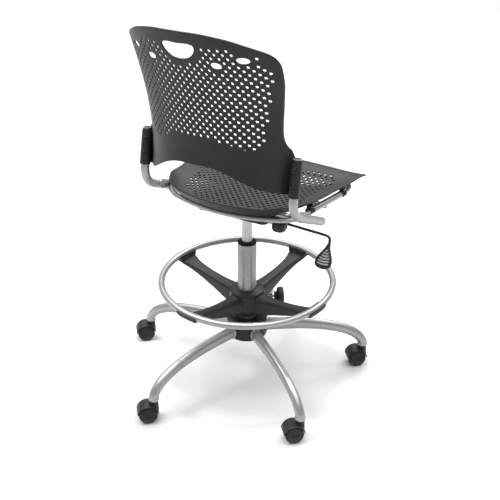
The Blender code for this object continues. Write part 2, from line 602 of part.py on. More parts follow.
# ================================================================ back shell
SLEEVE_R = 13.4
SLEEVE_LOW = Vector((206.0, 150.6, 650.0))
SLEEVE_TOP = Vector((204.7, 132.2, 742.0))
HALF_KEYS = ((650.0, 205.0), (700.0, 205.5), (735.0, 203.0), (745.0, 197.0), (757.0, 189.0), (770.0, 182.5),
             (780.0, 179.5), (800.0, 178.0), (840.0, 181.0), (880.0, 185.0), (940.0, 191.0), (960.0, 191.0),
             (973.0, 189.0), (987.0, 185.0), (996.0, 180.0))
TOP_KEYS = ((0.0, 1052.0), (55.0, 1051.0), (92.0, 1045.0), (116.0, 1038.0), (141.0, 1026.0), (168.0, 1009.0),
            (180.0, 996.0))
ARCH_KEYS = ((0.0, 730.0), (41.0, 728.0), (65.0, 721.0), (87.0, 711.0), (108.0, 697.0), (135.0, 678.0), (161.0, 665.0),
             (176.0, 656.0), (187.0, 647.0), (205.0, 650.0))

def back_y(x, z):
    s = min(abs(x), 190.0) ** 2 / 150.0 ** 2
    t = (z - 880.0) / 100.0
    return (263.14 + 20.4 * t + 8.14 * t * t - 1.46 * t ** 3 - s * (42.62 - 8.66 * t + 0.96 * t * t)
            - s * s * (13.13 + 0.73 * t))

def back_plan(u, v):
    q = (u + 1) / 2
    xb, xt = 205.0 * u, 180.0 * u
    low = Vector((xb, table(ARCH_KEYS, abs(xb))))
    high = Vector((xt, table(TOP_KEYS, abs(xt))))
    z = 650.0 + 346.0 * v
    right, left = Vector((table(HALF_KEYS, z), z)), Vector((-table(HALF_KEYS, z), z))
    c00, c10, c01, c11 = Vector((-205, 650)), Vector((205, 650)), Vector((-180, 996)), Vector((180, 996))
    p = low * (1 - v) + high * v + left * (1 - q) + right * q
    return p - (c00 * (1 - q) * (1 - v) + c10 * q * (1 - v) + c01 * (1 - q) * v + c11 * q * v)

def back_point(u, v):
    p = back_plan(u, v)
    return Vector((p.x, back_y(p.x, p.y), p.y))

us = spread(15, 1.25)
vs = [(w + 1) / 2 for w in spread(13, 1.25)]
back = shell_bm(back_point, us, vs, SHELL)
mid = [v.co.y for v in back.verts if abs(v.co.x) < 0.02 and abs(v.co.z - 0.88) < 0.025]
if mid and max(mid) > (back_y(0, 880) + 2.0) * MM:      # wall must lie on the sitter's side
    back.free()
    back = shell_bm(back_point, us, vs, -SHELL)
for s in (1, -1):
    a = Vector((s * SLEEVE_LOW.x, SLEEVE_LOW.y, SLEEVE_LOW.z))
    b = Vector((s * SLEEVE_TOP.x, SLEEVE_TOP.y, SLEEVE_TOP.z))
    h = (b - a).length
    tube = moved(lathe([(0, 0), (SLEEVE_R, 0), (SLEEVE_R, h - 7), (SLEEVE_R - 3, h - 2), (0, h)], 16), axis_matrix(a, b - a))
    back = combine(back, tube, 'UNION')
for s in (1, -1):
    pts = [Vector((s * x, y, z)) for x, y, z in UP[:3]] + [Vector((s * 206, 155.5, 628))]
    pts[0] = pts[0] + (pts[0] - pts[1]).normalized() * 1.2
    bore = sweep(pts, circle(12, TUBE_R + 0.7))
    back = combine(back, bore, 'DIFFERENCE')
# hand hold: flat top, round bottom
HOLD_W, HOLD_TOP, HOLD_DROP = 39.0, 1023.0, 35.0
hold = [(HOLD_W * math.cos(a) ** 1.0, HOLD_TOP - 4 - (HOLD_DROP - 4) * math.sin(a)) for a in
        (math.pi * k / 14 for k in range(15))]
hold += [(-HOLD_W + 3, HOLD_TOP), (HOLD_W - 3, HOLD_TOP)]
back = combine(back, prism(hold, 230, 340, 1), 'DIFFERENCE')
for x, z, a, b in ((134.0, 991.0, 15.0, 8.0), (80.0, 978.0, 14.0, 8.0)):
    for s in (1, -1):
        oval = [(s * x + a * math.cos(2 * math.pi * k / 12), z + b * math.sin(2 * math.pi * k / 12)) for k in range(12)]
        back = combine(back, prism(oval, 180, 340, 1), 'DIFFERENCE')
piece("back_shell", back, "black", angle=50)

for s, tag in ((1, "left"), (-1, "right")):
    a = Vector((s * SLEEVE_LOW.x, SLEEVE_LOW.y, SLEEVE_LOW.z))
    b = Vector((s * SLEEVE_TOP.x, SLEEVE_TOP.y, SLEEVE_TOP.z))
    ax = (b - a).normalized()
    out = (Vector((0, 1, 0)) - ax * ax.y).normalized()
    for f, end in ((0.70, "upper"), (0.32, "lower")):
        c = a.lerp(b, f) + out * (SLEEVE_R + GAP)
        piece("sleeve_screw_%s_%s" % (end, tag), moved(lathe([(0, 0), (4.2, 0), (4.2, 1.2), (3.0, 2.2), (0, 2.4)], 10),
                                                      axis_matrix(c, out)), "steel")

# ================================================================ centre the plan outline
bpy.context.view_layer.update()
lo = [1e9] * 3
hi = [-1e9] * 3
parts = [o for o in bpy.data.objects if o.type == 'MESH']
for ob in parts:
    for v in ob.data.vertices:
        w = ob.matrix_world @ v.co
        for i in range(3):
            lo[i], hi[i] = min(lo[i], w[i]), max(hi[i], w[i])
shift = Vector((-(lo[0] + hi[0]) / 2, -(lo[1] + hi[1]) / 2, -lo[2]))
for ob in parts:
    ob.location = ob.location + shift
bpy.context.view_layer.update()
print("column axis at", [round(c, 7) for c in shift], "size", [round(hi[i] - lo[i], 5) for i in range(3)],
      "pieces", len(parts))
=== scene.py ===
# Drafting chair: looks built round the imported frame.
import math
import bpy
import bmesh
from mathutils import Vector, Matrix, Quaternion
from mathutils.geometry import delaunay_2d_cdt


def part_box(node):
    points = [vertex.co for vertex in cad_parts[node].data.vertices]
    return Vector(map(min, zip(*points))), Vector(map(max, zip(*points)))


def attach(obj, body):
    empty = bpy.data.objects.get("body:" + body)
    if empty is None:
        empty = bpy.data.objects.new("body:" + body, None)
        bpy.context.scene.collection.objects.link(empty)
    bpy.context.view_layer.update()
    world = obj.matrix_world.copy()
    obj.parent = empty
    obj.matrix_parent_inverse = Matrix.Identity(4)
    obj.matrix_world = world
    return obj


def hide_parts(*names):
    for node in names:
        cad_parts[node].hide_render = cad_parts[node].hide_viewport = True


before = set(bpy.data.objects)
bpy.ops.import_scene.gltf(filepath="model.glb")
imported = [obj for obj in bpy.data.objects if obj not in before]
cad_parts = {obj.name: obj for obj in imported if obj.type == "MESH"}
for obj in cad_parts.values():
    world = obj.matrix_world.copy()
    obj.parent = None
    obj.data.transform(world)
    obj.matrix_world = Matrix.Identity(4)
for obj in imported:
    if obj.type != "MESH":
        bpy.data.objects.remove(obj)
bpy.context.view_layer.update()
_lo, _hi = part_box("column_tube")
C = Vector(((_lo.x + _hi.x) / 2, (_lo.y + _hi.y) / 2, 0.0))      # column axis on the floor
MM = 0.001
scene = bpy.context.scene

# =================================================================== materials
def new_mat(name):
    m = bpy.data.materials.new(name)
    m.use_nodes = True
    nt = m.node_tree
    b = nt.nodes["Principled BSDF"]
    return m, nt, b


def node(nt, kind, **props):
    n = nt.nodes.new(kind)
    for k, v in props.items():
        setattr(n, k, v)
    return n


def ramp(nt, src, stops):
    r = node(nt, "ShaderNodeValToRGB")
    els = r.color_ramp.elements
    els[0].position, els[0].color = stops[0][0], (*[stops[0][1]] * 3, 1) if not isinstance(stops[0][1], tuple) else (*stops[0][1], 1)
    els[1].position, els[1].color = stops[-1][0], (*[stops[-1][1]] * 3, 1) if not isinstance(stops[-1][1], tuple) else (*stops[-1][1], 1)
    for p, v in stops[1:-1]:
        e = els.new(p)
        e.color = (*[v] * 3, 1) if not isinstance(v, tuple) else (*v, 1)
    nt.links.new(src, r.inputs[0])
    return r.outputs[0]


def noise(nt, coord, scale, detail=4.0, rough=0.5):
    n = node(nt, "ShaderNodeTexNoise")
    n.inputs["Scale"].default_value = scale
    n.inputs["Detail"].default_value = detail
    n.inputs["Roughness"].default_value = rough
    nt.links.new(coord, n.inputs["Vector"])
    return n.outputs[0]


def bump(nt, b, *layers):
    """Chain of (height output, strength, distance in metres)."""
    last = None
    for src, strength, dist in layers:
        n = node(nt, "ShaderNodeBump")
        n.inputs["Strength"].default_value = strength
        n.inputs["Distance"].default_value = dist
        nt.links.new(src, n.inputs["Height"])
        if last is not None:
            nt.links.new(last, n.inputs["Normal"])
        last = n.outputs[0]
    nt.links.new(last, b.inputs["Normal"])


def math_node(nt, op, a, b_):
    n = node(nt, "ShaderNodeMath", operation=op)
    for i, v in enumerate((a, b_)):
        if isinstance(v, (int, float)):
            n.inputs[i].default_value = v
        else:
            nt.links.new(v, n.inputs[i])
    return n.outputs[0]


def mix_colour(nt, fac, a, b_):
    n = node(nt, "ShaderNodeMix", data_type='RGBA')
    nt.links.new(fac, n.inputs[0])
    for i, v in ((6, a), (7, b_)):
        if isinstance(v, tuple):
            n.inputs[i].default_value = (*v, 1)
        else:
            nt.links.new(v, n.inputs[i])
    return n.outputs[2]


def plastic(name, dark, light, rough0, rough1, grain=0.00004, scuffs=0.15, dust=0.0):
    """Moulded plastic: fine spark-eroded grain, slow colour drift, faint rub marks."""
    m, nt, b = new_mat(name)
    geo = node(nt, "ShaderNodeNewGeometry").outputs["Position"]
    drift = noise(nt, geo, 9.0, 3.0)
    fine = noise(nt, geo, 1500.0, 2.0, 0.6)
    mid = noise(nt, geo, 420.0, 3.0, 0.6)
    col = mix_colour(nt, ramp(nt, drift, [(0.3, 0.0), (0.7, 1.0)]), dark, light)
    stretch = node(nt, "ShaderNodeMapping")
    stretch.inputs["Scale"].default_value = (9.0, 60.0, 14.0)
    stretch.inputs["Rotation"].default_value = (0.5, 0.3, 0.8)
    nt.links.new(geo, stretch.inputs["Vector"])
    rub = ramp(nt, noise(nt, stretch.outputs[0], 6.0, 8.0, 0.72), [(0.60, 0.0), (0.74, 1.0)])
    rubbed = math_node(nt, 'MULTIPLY', rub, scuffs)
    lighter = tuple(min(1.0, c * 1.9 + 0.012) for c in light)
    col = mix_colour(nt, rubbed, col, lighter)
    if dust:
        low = node(nt, "ShaderNodeSeparateXYZ")
        nt.links.new(geo, low.inputs[0])
        near = ramp(nt, low.outputs[2], [(0.002, 1.0), (0.022, 0.0)])
        patch = ramp(nt, noise(nt, geo, 160.0, 5.0, 0.65), [(0.42, 0.0), (0.66, 1.0)])
        f = math_node(nt, 'MULTIPLY', math_node(nt, 'MULTIPLY', near, patch), dust)
        col = mix_colour(nt, f, col, (0.17, 0.16, 0.145))
    nt.links.new(col, b.inputs["Base Color"])
    rg = node(nt, "ShaderNodeMapRange")
    rg.inputs["To Min"].default_value = rough0
    rg.inputs["To Max"].default_value = rough1
    nt.links.new(noise(nt, geo, 34.0, 5.0, 0.6), rg.inputs["Value"])
    nt.links.new(math_node(nt, 'ADD', rg.outputs[0], math_node(nt, 'MULTIPLY', rub, 0.05)), b.inputs["Roughness"])
    b.inputs["Specular IOR Level"].default_value = 0.3
    bump(nt, b, (mid, 0.22, grain * 2.2), (fine, 0.35, grain))
    return m


def silver_paint(name, base=(0.56, 0.56, 0.555), metallic=0.62):
    """Silver powder coat: flake sparkle, orange peel, faint handling marks."""
    m, nt, b = new_mat(name)
    geo = node(nt, "ShaderNodeNewGeometry").outputs["Position"]
    flake = node(nt, "ShaderNodeTexVoronoi")
    flake.inputs["Scale"].default_value = 1500.0
    nt.links.new(geo, flake.inputs["Vector"])
    fl = node(nt, "ShaderNodeSeparateColor")
    nt.links.new(flake.outputs["Color"], fl.inputs[0])
    drift = noise(nt, geo, 12.0, 3.0)
    lo = tuple(c * 0.93 for c in base)
    hi = tuple(min(1, c * 1.07) for c in base)
    col = mix_colour(nt, ramp(nt, drift, [(0.3, 0.0), (0.7, 1.0)]), lo, hi)
    sp = ramp(nt, fl.outputs[0], [(0.0, 0.0), (0.72, 0.0), (1.0, 1.0)])
    col = mix_colour(nt, math_node(nt, 'MULTIPLY', sp, 0.35), col, (0.82, 0.82, 0.81))
    stretch = node(nt, "ShaderNodeMapping")
    stretch.inputs["Scale"].default_value = (40.0, 12.0, 9.0)
    stretch.inputs["Rotation"].default_value = (0.2, 0.9, 0.4)
    nt.links.new(geo, stretch.inputs["Vector"])
    mark = ramp(nt, noise(nt, stretch.outputs[0], 5.0, 9.0, 0.75), [(0.63, 0.0), (0.78, 1.0)])
    col = mix_colour(nt, math_node(nt, 'MULTIPLY', mark, 0.22), col, (0.30, 0.30, 0.295))
    nt.links.new(col, b.inputs["Base Color"])
    b.inputs["Metallic"].default_value = metallic
    rg = node(nt, "ShaderNodeMapRange")
    rg.inputs["To Min"].default_value = 0.29
    rg.inputs["To Max"].default_value = 0.43
    nt.links.new(noise(nt, geo, 55.0, 5.0, 0.6), rg.inputs["Value"])
    nt.links.new(math_node(nt, 'ADD', rg.outputs[0], math_node(nt, 'MULTIPLY', mark, 0.12)), b.inputs["Roughness"])
    b.inputs["Coat Weight"].default_value = 0.25
    b.inputs["Coat Roughness"].default_value = 0.18
    bump(nt, b, (noise(nt, geo, 330.0, 2.0, 0.5), 0.25, 0.00007), (fl.outputs[1], 0.12, 0.00002))
    return m


def ground_steel(name, base, rough, lines=2600.0, axis=2):
    """Ground or plated steel with fine turning lines round its axis."""
    m, nt, b = new_mat(name)
    geo = node(nt, "ShaderNodeNewGeometry").outputs["Position"]
    sep = node(nt, "ShaderNodeMapping")
    sc = [14.0, 14.0, 14.0]
    sc[axis] = lines
    sep.inputs["Scale"].default_value = sc
    nt.links.new(geo, sep.inputs["Vector"])
    ln = noise(nt, sep.outputs[0], 1.0, 3.0, 0.6)
    nt.links.new(mix_colour(nt, ramp(nt, ln, [(0.35, 0.0), (0.65, 1.0)]), tuple(c * 0.9 for c in base), base),
                 b.inputs["Base Color"])
    b.inputs["Metallic"].default_value = 1.0
    rg = node(nt, "ShaderNodeMapRange")
    rg.inputs["To Min"].default_value = rough
    rg.inputs["To Max"].default_value = rough + 0.14
    nt.links.new(noise(nt, geo, 70.0, 5.0), rg.inputs["Value"])
    nt.links.new(rg.outputs[0], b.inputs["Roughness"])
    bump(nt, b, (ln, 0.10, 0.00003))
    return m


M_SILVER = silver_paint("silver_powder_coat", base=(0.315, 0.315, 0.31), metallic=0.72)
M_COLUMN = silver_paint("silver_column_paint", base=(0.27, 0.27, 0.267), metallic=0.6)
M_SHELL = plastic("shell_plastic", (0.0108, 0.0108, 0.0104), (0.016, 0.016, 0.0156), 0.36, 0.48, 0.00005, 0.10)
# darker copy of the shell plastic, used as painted shade on the seat's downward-facing faces
M_PAINTED_SHADE_UNDERSIDE = plastic("painted_shade_underside", (0.0055, 0.0055, 0.0055), (0.009, 0.009, 0.0088), 0.42, 0.52, 0.00004, 0.08)
M_BLACK = plastic("hub_plastic", (0.011, 0.011, 0.011), (0.017, 0.017, 0.017), 0.36, 0.52, 0.00005, 0.16)
M_WHEEL = plastic("wheel_nylon", (0.009, 0.009, 0.0093), (0.015, 0.015, 0.0155), 0.33, 0.50, 0.00004, 0.2, dust=0.55)
M_GRIP = plastic("grip_rim", (0.009, 0.009, 0.009), (0.014, 0.014, 0.014), 0.30, 0.42, 0.00003, 0.1)
M_RIB = plastic("grip_ribs", (0.20, 0.20, 0.197), (0.27, 0.27, 0.265), 0.40, 0.55, 0.00005, 0.2)
M_DARK = plastic("black_enamel", (0.008, 0.008, 0.0085), (0.014, 0.014, 0.0145), 0.28, 0.42, 0.00008, 0.12)
M_STEEL = ground_steel("ground_steel", (0.42, 0.42, 0.42), 0.2)
M_SOCKET = ground_steel("black_oxide_screw", (0.05, 0.05, 0.052), 0.34, lines=900.0, axis=1)
M_SCREW = ground_steel("zinc_screw", (0.16, 0.16, 0.16), 0.3, lines=900.0, axis=1)

# =================================================================== mesh kit
def rings_to_bm(rings, wrap=False, caps=True):
    bm = bmesh.new()
    vs = [[bm.verts.new(Vector(p)) for p in ring] for ring in rings]
    m, n = len(rings), len(rings[0])
    for i in range(m if wrap else m - 1):
        a, b = vs[i], vs[(i + 1) % m]
        for j in range(n):
            k = (j + 1) % n
            bm.faces.new((a[j], a[k], b[k], b[j]))
    if caps and not wrap:
        bm.faces.new(list(reversed(vs[0])))
        bm.faces.new(vs[-1])
    bmesh.ops.recalc_face_normals(bm, faces=bm.faces)
    return bm


def lathe(profile, n=48, closed=False, phase=0.0, lobes=0, depth=0.0):
    rings = []
    for r, z in profile:
        ring = []
        for j in range(n):
            a = phase + 2 * math.pi * j / n
            rr = r * (1.0 + depth * math.cos(lobes * a)) if lobes else r
            ring.append((rr * math.cos(a), rr * math.sin(a), z))
        rings.append(ring)
    bm = rings_to_bm(rings, wrap=closed, caps=False)
    bmesh.ops.remove_doubles(bm, verts=bm.verts, dist=1e-4)
    bmesh.ops.recalc_face_normals(bm, faces=bm.faces)
    return bm


def rounded(profile, radius=1.0, steps=4, closed=False):
    """Round the corners of a turned profile; a corner may carry its own radius."""
    pts = [Vector((p[0], p[1])) for p in profile]
    rad = [p[2] if len(p) > 2 else radius for p in profile]
    out, m = [], len(pts)
    for i, p in enumerate(pts):
        if (not closed and i in (0, m - 1)) or rad[i] <= 0 or p.x < 1e-6:
            out.append((p.x, p.y))
            continue
        a, b = pts[i - 1], pts[(i + 1) % m]
        da, db = (a - p), (b - p)
        r = min(rad[i], da.length * 0.48, db.length * 0.48)
        pa, pb = p + da.normalized() * r, p + db.normalized() * r
        for s in range(steps + 1):
            t = s / steps
            q = pa * (1 - t) ** 2 + p * 2 * t * (1 - t) + pb * t * t
            out.append((q.x, q.y))
    return out


def circle(n, r, phase=0.0):
    return [(r * math.cos(phase + 2 * math.pi * j / n), r * math.sin(phase + 2 * math.pi * j / n)) for j in range(n)]


def tangents(points, wrap=False):
    out, m = [], len(points)
    for i in range(m):
        if wrap:
            a, b = points[i - 1], points[(i + 1) % m]
        else:
            a, b = points[max(i - 1, 0)], points[min(i + 1, m - 1)]
        out.append((b - a).normalized())
    return out


def sweep(points, sections, side=None, wrap=False):
    points = [Vector(p) for p in points]
    tan = tangents(points, wrap)
    if not isinstance(sections[0][0], (tuple, list)):
        sections = [sections] * len(points)
    rings, up = [], None
    for p, t, sec in zip(points, tan, sections):
        if side is not None:
            s = (Vector(side) - t * t.dot(Vector(side))).normalized()
            up = s.cross(t).normalized()
        else:
            if up is None:
                ref = Vector((0, 0, 1)) if abs(t.z) < 0.8 else Vector((1, 0, 0))
                up = (ref - t * t.dot(ref)).normalized()
            else:
                up = (up - t * t.dot(up)).normalized()
            s = t.cross(up)
        rings.append([p + s * a + up * b for a, b in sec])
    return rings_to_bm(rings, wrap=wrap)


def smooth_path(keys, count=None, wrap=False, step=None, sub=16):
    """Catmull-Rom (centripetal enough for gentle runs) resampled evenly; keys may be any dimension."""
    keys = [Vector(k) for k in keys]
    m = len(keys)
    fine = []
    for i in range(m if wrap else m - 1):
        p1, p2 = keys[i % m], keys[(i + 1) % m]
        p0 = keys[(i - 1) % m] if wrap or i > 0 else p1 * 2 - p2
        p3 = keys[(i + 2) % m] if wrap or i + 2 < m else p2 * 2 - p1
        # non-uniform tangents so that uneven key spacing doesn't overshoot
        d1 = max((p2 - p1).length, 1e-6)
        d0 = max((p1 - p0).length, 1e-6)
        d2 = max((p3 - p2).length, 1e-6)
        t1 = ((p1 - p0) / d0 * d1 + (p2 - p1) / d1 * d0) / (d0 + d1) * d1
        t2 = ((p2 - p1) / d1 * d2 + (p3 - p2) / d2 * d1) / (d1 + d2) * d1
        for k in range(sub):
            t = k / sub
            h00 = 2 * t ** 3 - 3 * t ** 2 + 1
            h10 = t ** 3 - 2 * t ** 2 + t
            h01 = -2 * t ** 3 + 3 * t ** 2
            h11 = t ** 3 - t ** 2
            fine.append(p1 * h00 + t1 * h10 + p2 * h01 + t2 * h11)
    fine.append(keys[0].copy() if wrap else keys[-1].copy())
    run = [0.0]
    for a, b in zip(fine, fine[1:]):
        run.append(run[-1] + (b - a).length)
    if count is None:
        count = max(int(round(run[-1] / step)), 3) + (0 if wrap else 1)
    out, j = [], 0
    n = count if wrap else count - 1
    for i in range(count):
        d = run[-1] * i / n
        while j < len(run) - 2 and run[j + 1] < d:
            j += 1
        f = (d - run[j]) / max(run[j + 1] - run[j], 1e-9)
        out.append(fine[j].lerp(fine[j + 1], f))
    return out


def block(lo, hi, bevel=0.0, segments=3):
    bm = bmesh.new()
    bmesh.ops.create_cube(bm, size=1.0)
    for v in bm.verts:
        v.co = Vector([(lo[i] + hi[i]) / 2 + v.co[i] * (hi[i] - lo[i]) for i in range(3)])
    if bevel:
        bmesh.ops.bevel(bm, geom=list(bm.edges), offset=bevel, segments=segments, profile=0.5, affect='EDGES')
    return bm


def prism(outline, lo, hi, axis):
    def place(a, b, c):
        return (c, a, b) if axis == 0 else ((a, c, b) if axis == 1 else (a, b, c))
    return rings_to_bm([[place(a, b, lo) for a, b in outline], [place(a, b, hi) for a, b in outline]])


def moved(bm, matrix):
    bmesh.ops.transform(bm, matrix=matrix, verts=bm.verts)
    return bm


def axis_matrix(origin, direction):
    q = Vector(direction).normalized().to_track_quat('Z', 'Y')
    return Matrix.Translation(Vector(origin)) @ q.to_matrix().to_4x4()


def joined(*bms):
    out = bmesh.new()
    for bm in bms:
        me = bpy.data.meshes.new("tmp")
        bm.to_mesh(me)
        bm.free()
        out.from_mesh(me)
        bpy.data.meshes.remove(me)
    return out


def combine(base, tool, operation):
    obs = []
    for bm in (base, tool):
        me = bpy.data.meshes.new("scratch")
        bm.to_mesh(me)
        bm.free()
        ob = bpy.data.objects.new("scratch", me)
        scene.collection.objects.link(ob)
        obs.append(ob)
    a, b = obs
    mod = a.modifiers.new("cut", 'BOOLEAN')
    mod.object, mod.operation, mod.solver = b, operation, 'EXACT'
    bpy.context.view_layer.update()
    me = bpy.data.meshes.new_from_object(a.evaluated_get(bpy.context.evaluated_depsgraph_get()))
    out = bmesh.new()
    out.from_mesh(me)
    for ob in obs:
        old = ob.data
        bpy.data.objects.remove(ob, do_unlink=True)
        bpy.data.meshes.remove(old)
    bpy.data.meshes.remove(me)
    bmesh.ops.remove_doubles(out, verts=out.verts, dist=0.004)
    bmesh.ops.dissolve_degenerate(out, edges=out.edges, dist=0.004)
    return out


def piece(name, bm, mat, body, nodes=(), angle=35.0, bevel=0.0, mats=None):
    """bm is in millimetres round the column axis."""
    bmesh.ops.scale(bm, vec=(MM, MM, MM), verts=bm.verts)
    bmesh.ops.translate(bm, vec=C, verts=bm.verts)
    bmesh.ops.recalc_face_normals(bm, faces=bm.faces)
    me = bpy.data.meshes.new(name)
    bm.to_mesh(me)
    bm.free()
    me.shade_smooth()
    me.set_sharp_from_angle(angle=math.radians(angle))
    for m in (mats or [mat]):
        me.materials.append(m)
    ob = bpy.data.objects.new(name, me)
    scene.collection.objects.link(ob)
    if bevel:
        b = ob.modifiers.new("edge", 'BEVEL')
        b.width = bevel * MM
        b.segments = 2
        b.limit_method = 'ANGLE'
        b.angle_limit = math.radians(40)
        b.harden_normals = False
    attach(ob, body)
    if nodes:
        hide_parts(*nodes)
    return ob


def table(keys, x):
    if x <= keys[0][0]:
        return keys[0][1]
    for (x0, y0), (x1, y1) in zip(keys, keys[1:]):
        if x <= x1:
            return y0 + (y1 - y0) * (x - x0) / (x1 - x0)
    return keys[-1][1]


def radial(angle):
    a = math.radians(angle)
    return Vector((-math.sin(a), math.cos(a), 0.0))


def across(angle):
    a = math.radians(angle)
    return Vector((math.cos(a), math.sin(a), 0.0))

# =================================================================== perforated shells
def offset_loop(loop, d):
    """Move a closed 2-D loop inwards (to its left when it runs anticlockwise) by d."""
    out, m = [], len(loop)
    for i in range(m):
        a, b, c = loop[i - 1], loop[i], loop[(i + 1) % m]
        n1 = Vector((-(b - a).y, (b - a).x)).normalized()
        n2 = Vector((-(c - b).y, (c - b).x)).normalized()
        n = (n1 + n2)
        n = n.normalized() if n.length > 1e-6 else n1
        k = 1.0 / max(0.5, n.dot(n1))
        out.append(b + n * d * k)
    return out


def dist_to_loop(p, loop):
    best = 1e9
    m = len(loop)
    for i in range(m):
        a, b = loop[i - 1], loop[i]
        ab = b - a
        t = max(0.0, min(1.0, (p - a).dot(ab) / max(ab.length_squared, 1e-12)))
        d = (a + ab * t - p).length
        if d < best:
            best = d
    return best


def inside(p, loop):
    c, m = False, len(loop)
    for i in range(m):
        a, b = loop[i - 1], loop[i]
        if (a.y > p.y) != (b.y > p.y) and p.x < (b.x - a.x) * (p.y - a.y) / (b.y - a.y) + a.x:
            c = not c
    return c


def ccw(loop):
    area = sum(loop[i - 1].x * loop[i].y - loop[i].x * loop[i - 1].y for i in range(len(loop)))
    return loop if area > 0 else list(reversed(loop))


def perforated_shell(surface, outline, openings, thick, grid, edge, draw=None):
    """Plan outline and openings [(loop, rounding)] -> closed shell whose outer face is
    surface(a, b) and whose walls are rounded over at both faces."""
    outline = ccw(outline)
    loops = [(outline, edge, 1)] + [(ccw(l), r, -1) for l, r in openings]
    pts, edges, marks = [], [], []
    for loop, r, sign in loops:
        inner = offset_loop(loop, r * sign)                # where the flat face stops
        start = len(pts)
        pts += inner
        m = len(inner)
        edges += [(start + i, start + (i + 1) % m) for i in range(m)]
        marks.append((start, m, loop, inner, r))
    # spare points that carry the curvature over the plain areas
    import numpy as np
    fixed = np.array([[p.x, p.y] for p in pts])
    xs = [p.x for p in outline]
    ys = [p.y for p in outline]
    row, y = 0, min(ys)
    extra = []
    while y < max(ys):
        x = min(xs) + (grid / 2 if row % 2 else 0.0)
        while x < max(xs):
            d = np.min((fixed[:, 0] - x) ** 2 + (fixed[:, 1] - y) ** 2)
            p = Vector((x, y))
            if d > (grid * 0.5) ** 2 and inside(p, marks[0][3]):
                extra.append(p)
            x += grid
        y += grid * 0.866
        row += 1
    pts += extra
    vo, eo, fo, vorig, _e, _f = delaunay_2d_cdt([p.to_2d() for p in pts], edges, [], 0, 1e-5)
    index = {}
    for new, olds in enumerate(vorig):
        for o in olds:
            index[o] = new
    # drop triangles that lie in an opening or outside the outline
    holes = [(m[3], Vector((sum(p.x for p in m[3]) / m[1], sum(p.y for p in m[3]) / m[1])),
              max((p - Vector((sum(q.x for q in m[3]) / m[1], sum(q.y for q in m[3]) / m[1]))).length for p in m[3]))
             for m in marks[1:]]
    cen = np.array([[h[1].x, h[1].y] for h in holes]) if holes else None
    rad = np.array([h[2] for h in holes]) if holes else None
    tris = []
    for f in fo:
        c = (vo[f[0]] + vo[f[1]] + vo[f[2]]) / 3
        if not inside(c, marks[0][3]):
            continue
        if holes:
            d = np.hypot(cen[:, 0] - c.x, cen[:, 1] - c.y) - rad
            near = np.nonzero(d < 0)[0]
            if any(inside(c, holes[k][0]) for k in near):
                continue
        tris.append(f)
    e = 0.5

    def frame_at(a, b):
        p = surface(a, b)
        n = (surface(a + e, b) - surface(a - e, b)).cross(surface(a, b + e) - surface(a, b - e)).normalized()
        if draw is not None:                     # bores and walls run along the mould's opening direction
            n = draw / max(0.45, draw.dot(n))
        return p, n
    used = sorted({i for f in tris for i in f})
    bm = bmesh.new()
    A, B = {}, {}
    for i in used:
        p, n = frame_at(vo[i].x, vo[i].y)
        A[i] = bm.verts.new(p)
        B[i] = bm.verts.new(p - n * thick)
    for f in tris:
        bm.faces.new([A[i] for i in f])
        bm.faces.new([B[i] for i in reversed(f)])
    for start, m, loop, inner, r in marks:
        ids = [index.get(start + i) for i in range(m)]
        if any(i is None or i not in A for i in ids):
            continue
        steps = [(0.30, 0.05), (0.70, 0.32), (1.0, 1.0)]
        rings = [[A[i] for i in ids]]
        prof = [(s, d * r) for s, d in steps] + [(s, thick - d * r) for s, d in reversed(steps)]
        for s, d in prof:
            ring = []
            for q, w in zip(inner, loop):
                c = q.lerp(w, s)
                p, n = frame_at(c.x, c.y)
                ring.append(bm.verts.new(p - n * d))
            rings.append(ring)
        rings.append([B[i] for i in ids])
        for ra, rb in zip(rings, rings[1:]):
            for i in range(m):
                k = (i + 1) % m
                try:
                    bm.faces.new((ra[i], ra[k], rb[k], rb[i]))
                except ValueError:
                    pass
    bmesh.ops.recalc_face_normals(bm, faces=bm.faces)
    return bm


def loop_circle(cx, cy, r, n=12, ry=None, tilt=0.0):
    ry = r if ry is None else ry
    c, s = math.cos(tilt), math.sin(tilt)
    out = []
    for k in range(n):
        a = 2 * math.pi * (k + 0.5) / n
        x, y = r * math.cos(a), ry * math.sin(a)
        out.append(Vector((cx + x * c - y * s, cy + x * s + y * c)))
    return out

# ------------------------------------------------------------------- back shell
PITCH, ROW, HOLE_R, SHELL = 16.87, 9.61, 3.55, 5.0

def back_y(x, z):
    s = min(abs(x), 190.0) ** 2 / 150.0 ** 2
    t = (z - 880.0) / 100.0
    return (263.14 + 20.4 * t + 8.14 * t * t - 1.46 * t ** 3 - s * (42.62 - 8.66 * t + 0.96 * t * t)
            - s * s * (13.13 + 0.73 * t))


def back_surface(x, z):
    return Vector((-x, back_y(x, z), z))         # mirrored so that the normal points rearwards

half = [(0, 730), (41, 728.3), (65, 721.5), (87, 711), (108, 697.5), (135, 679), (161, 664.5), (176, 656.3), (187, 650.5),
        (199, 650), (200.5, 672), (200.5, 715), (199.3, 735), (195, 747), (188.5, 758), (183, 770), (180, 783),
        (178.6, 800), (179.3, 820), (181, 840), (183, 860), (185, 880), (187.2, 900), (189.3, 920), (190.8, 940),
        (191, 956), (190, 969), (187.3, 981.5), (183, 992), (177, 1000.8), (168, 1009.2), (156, 1017.4), (141, 1026),
        (116, 1038), (92, 1045), (55, 1051), (20, 1052.2)]
keys = [Vector(p) for p in half] + [Vector((-x, z)) for x, z in reversed(half[1:])]
outline = ccw(smooth_path(keys, wrap=True, step=5.0))
HOLD_W, HOLD_TOP, HOLD_DROP = 39.0, 1023.0, 35.0
hold_keys = [(-31, 1023), (0, 1023), (31, 1023), (36.5, 1021.2), (39, 1016.5), (38, 1011), (34.5, 1004), (28.5, 997),
             (19.5, 991), (9, 988.2), (0, 987.6), (-9, 988.2), (-19.5, 991), (-28.5, 997), (-34.5, 1004), (-38, 1011),
             (-39, 1016.5), (-36.5, 1021.2)]
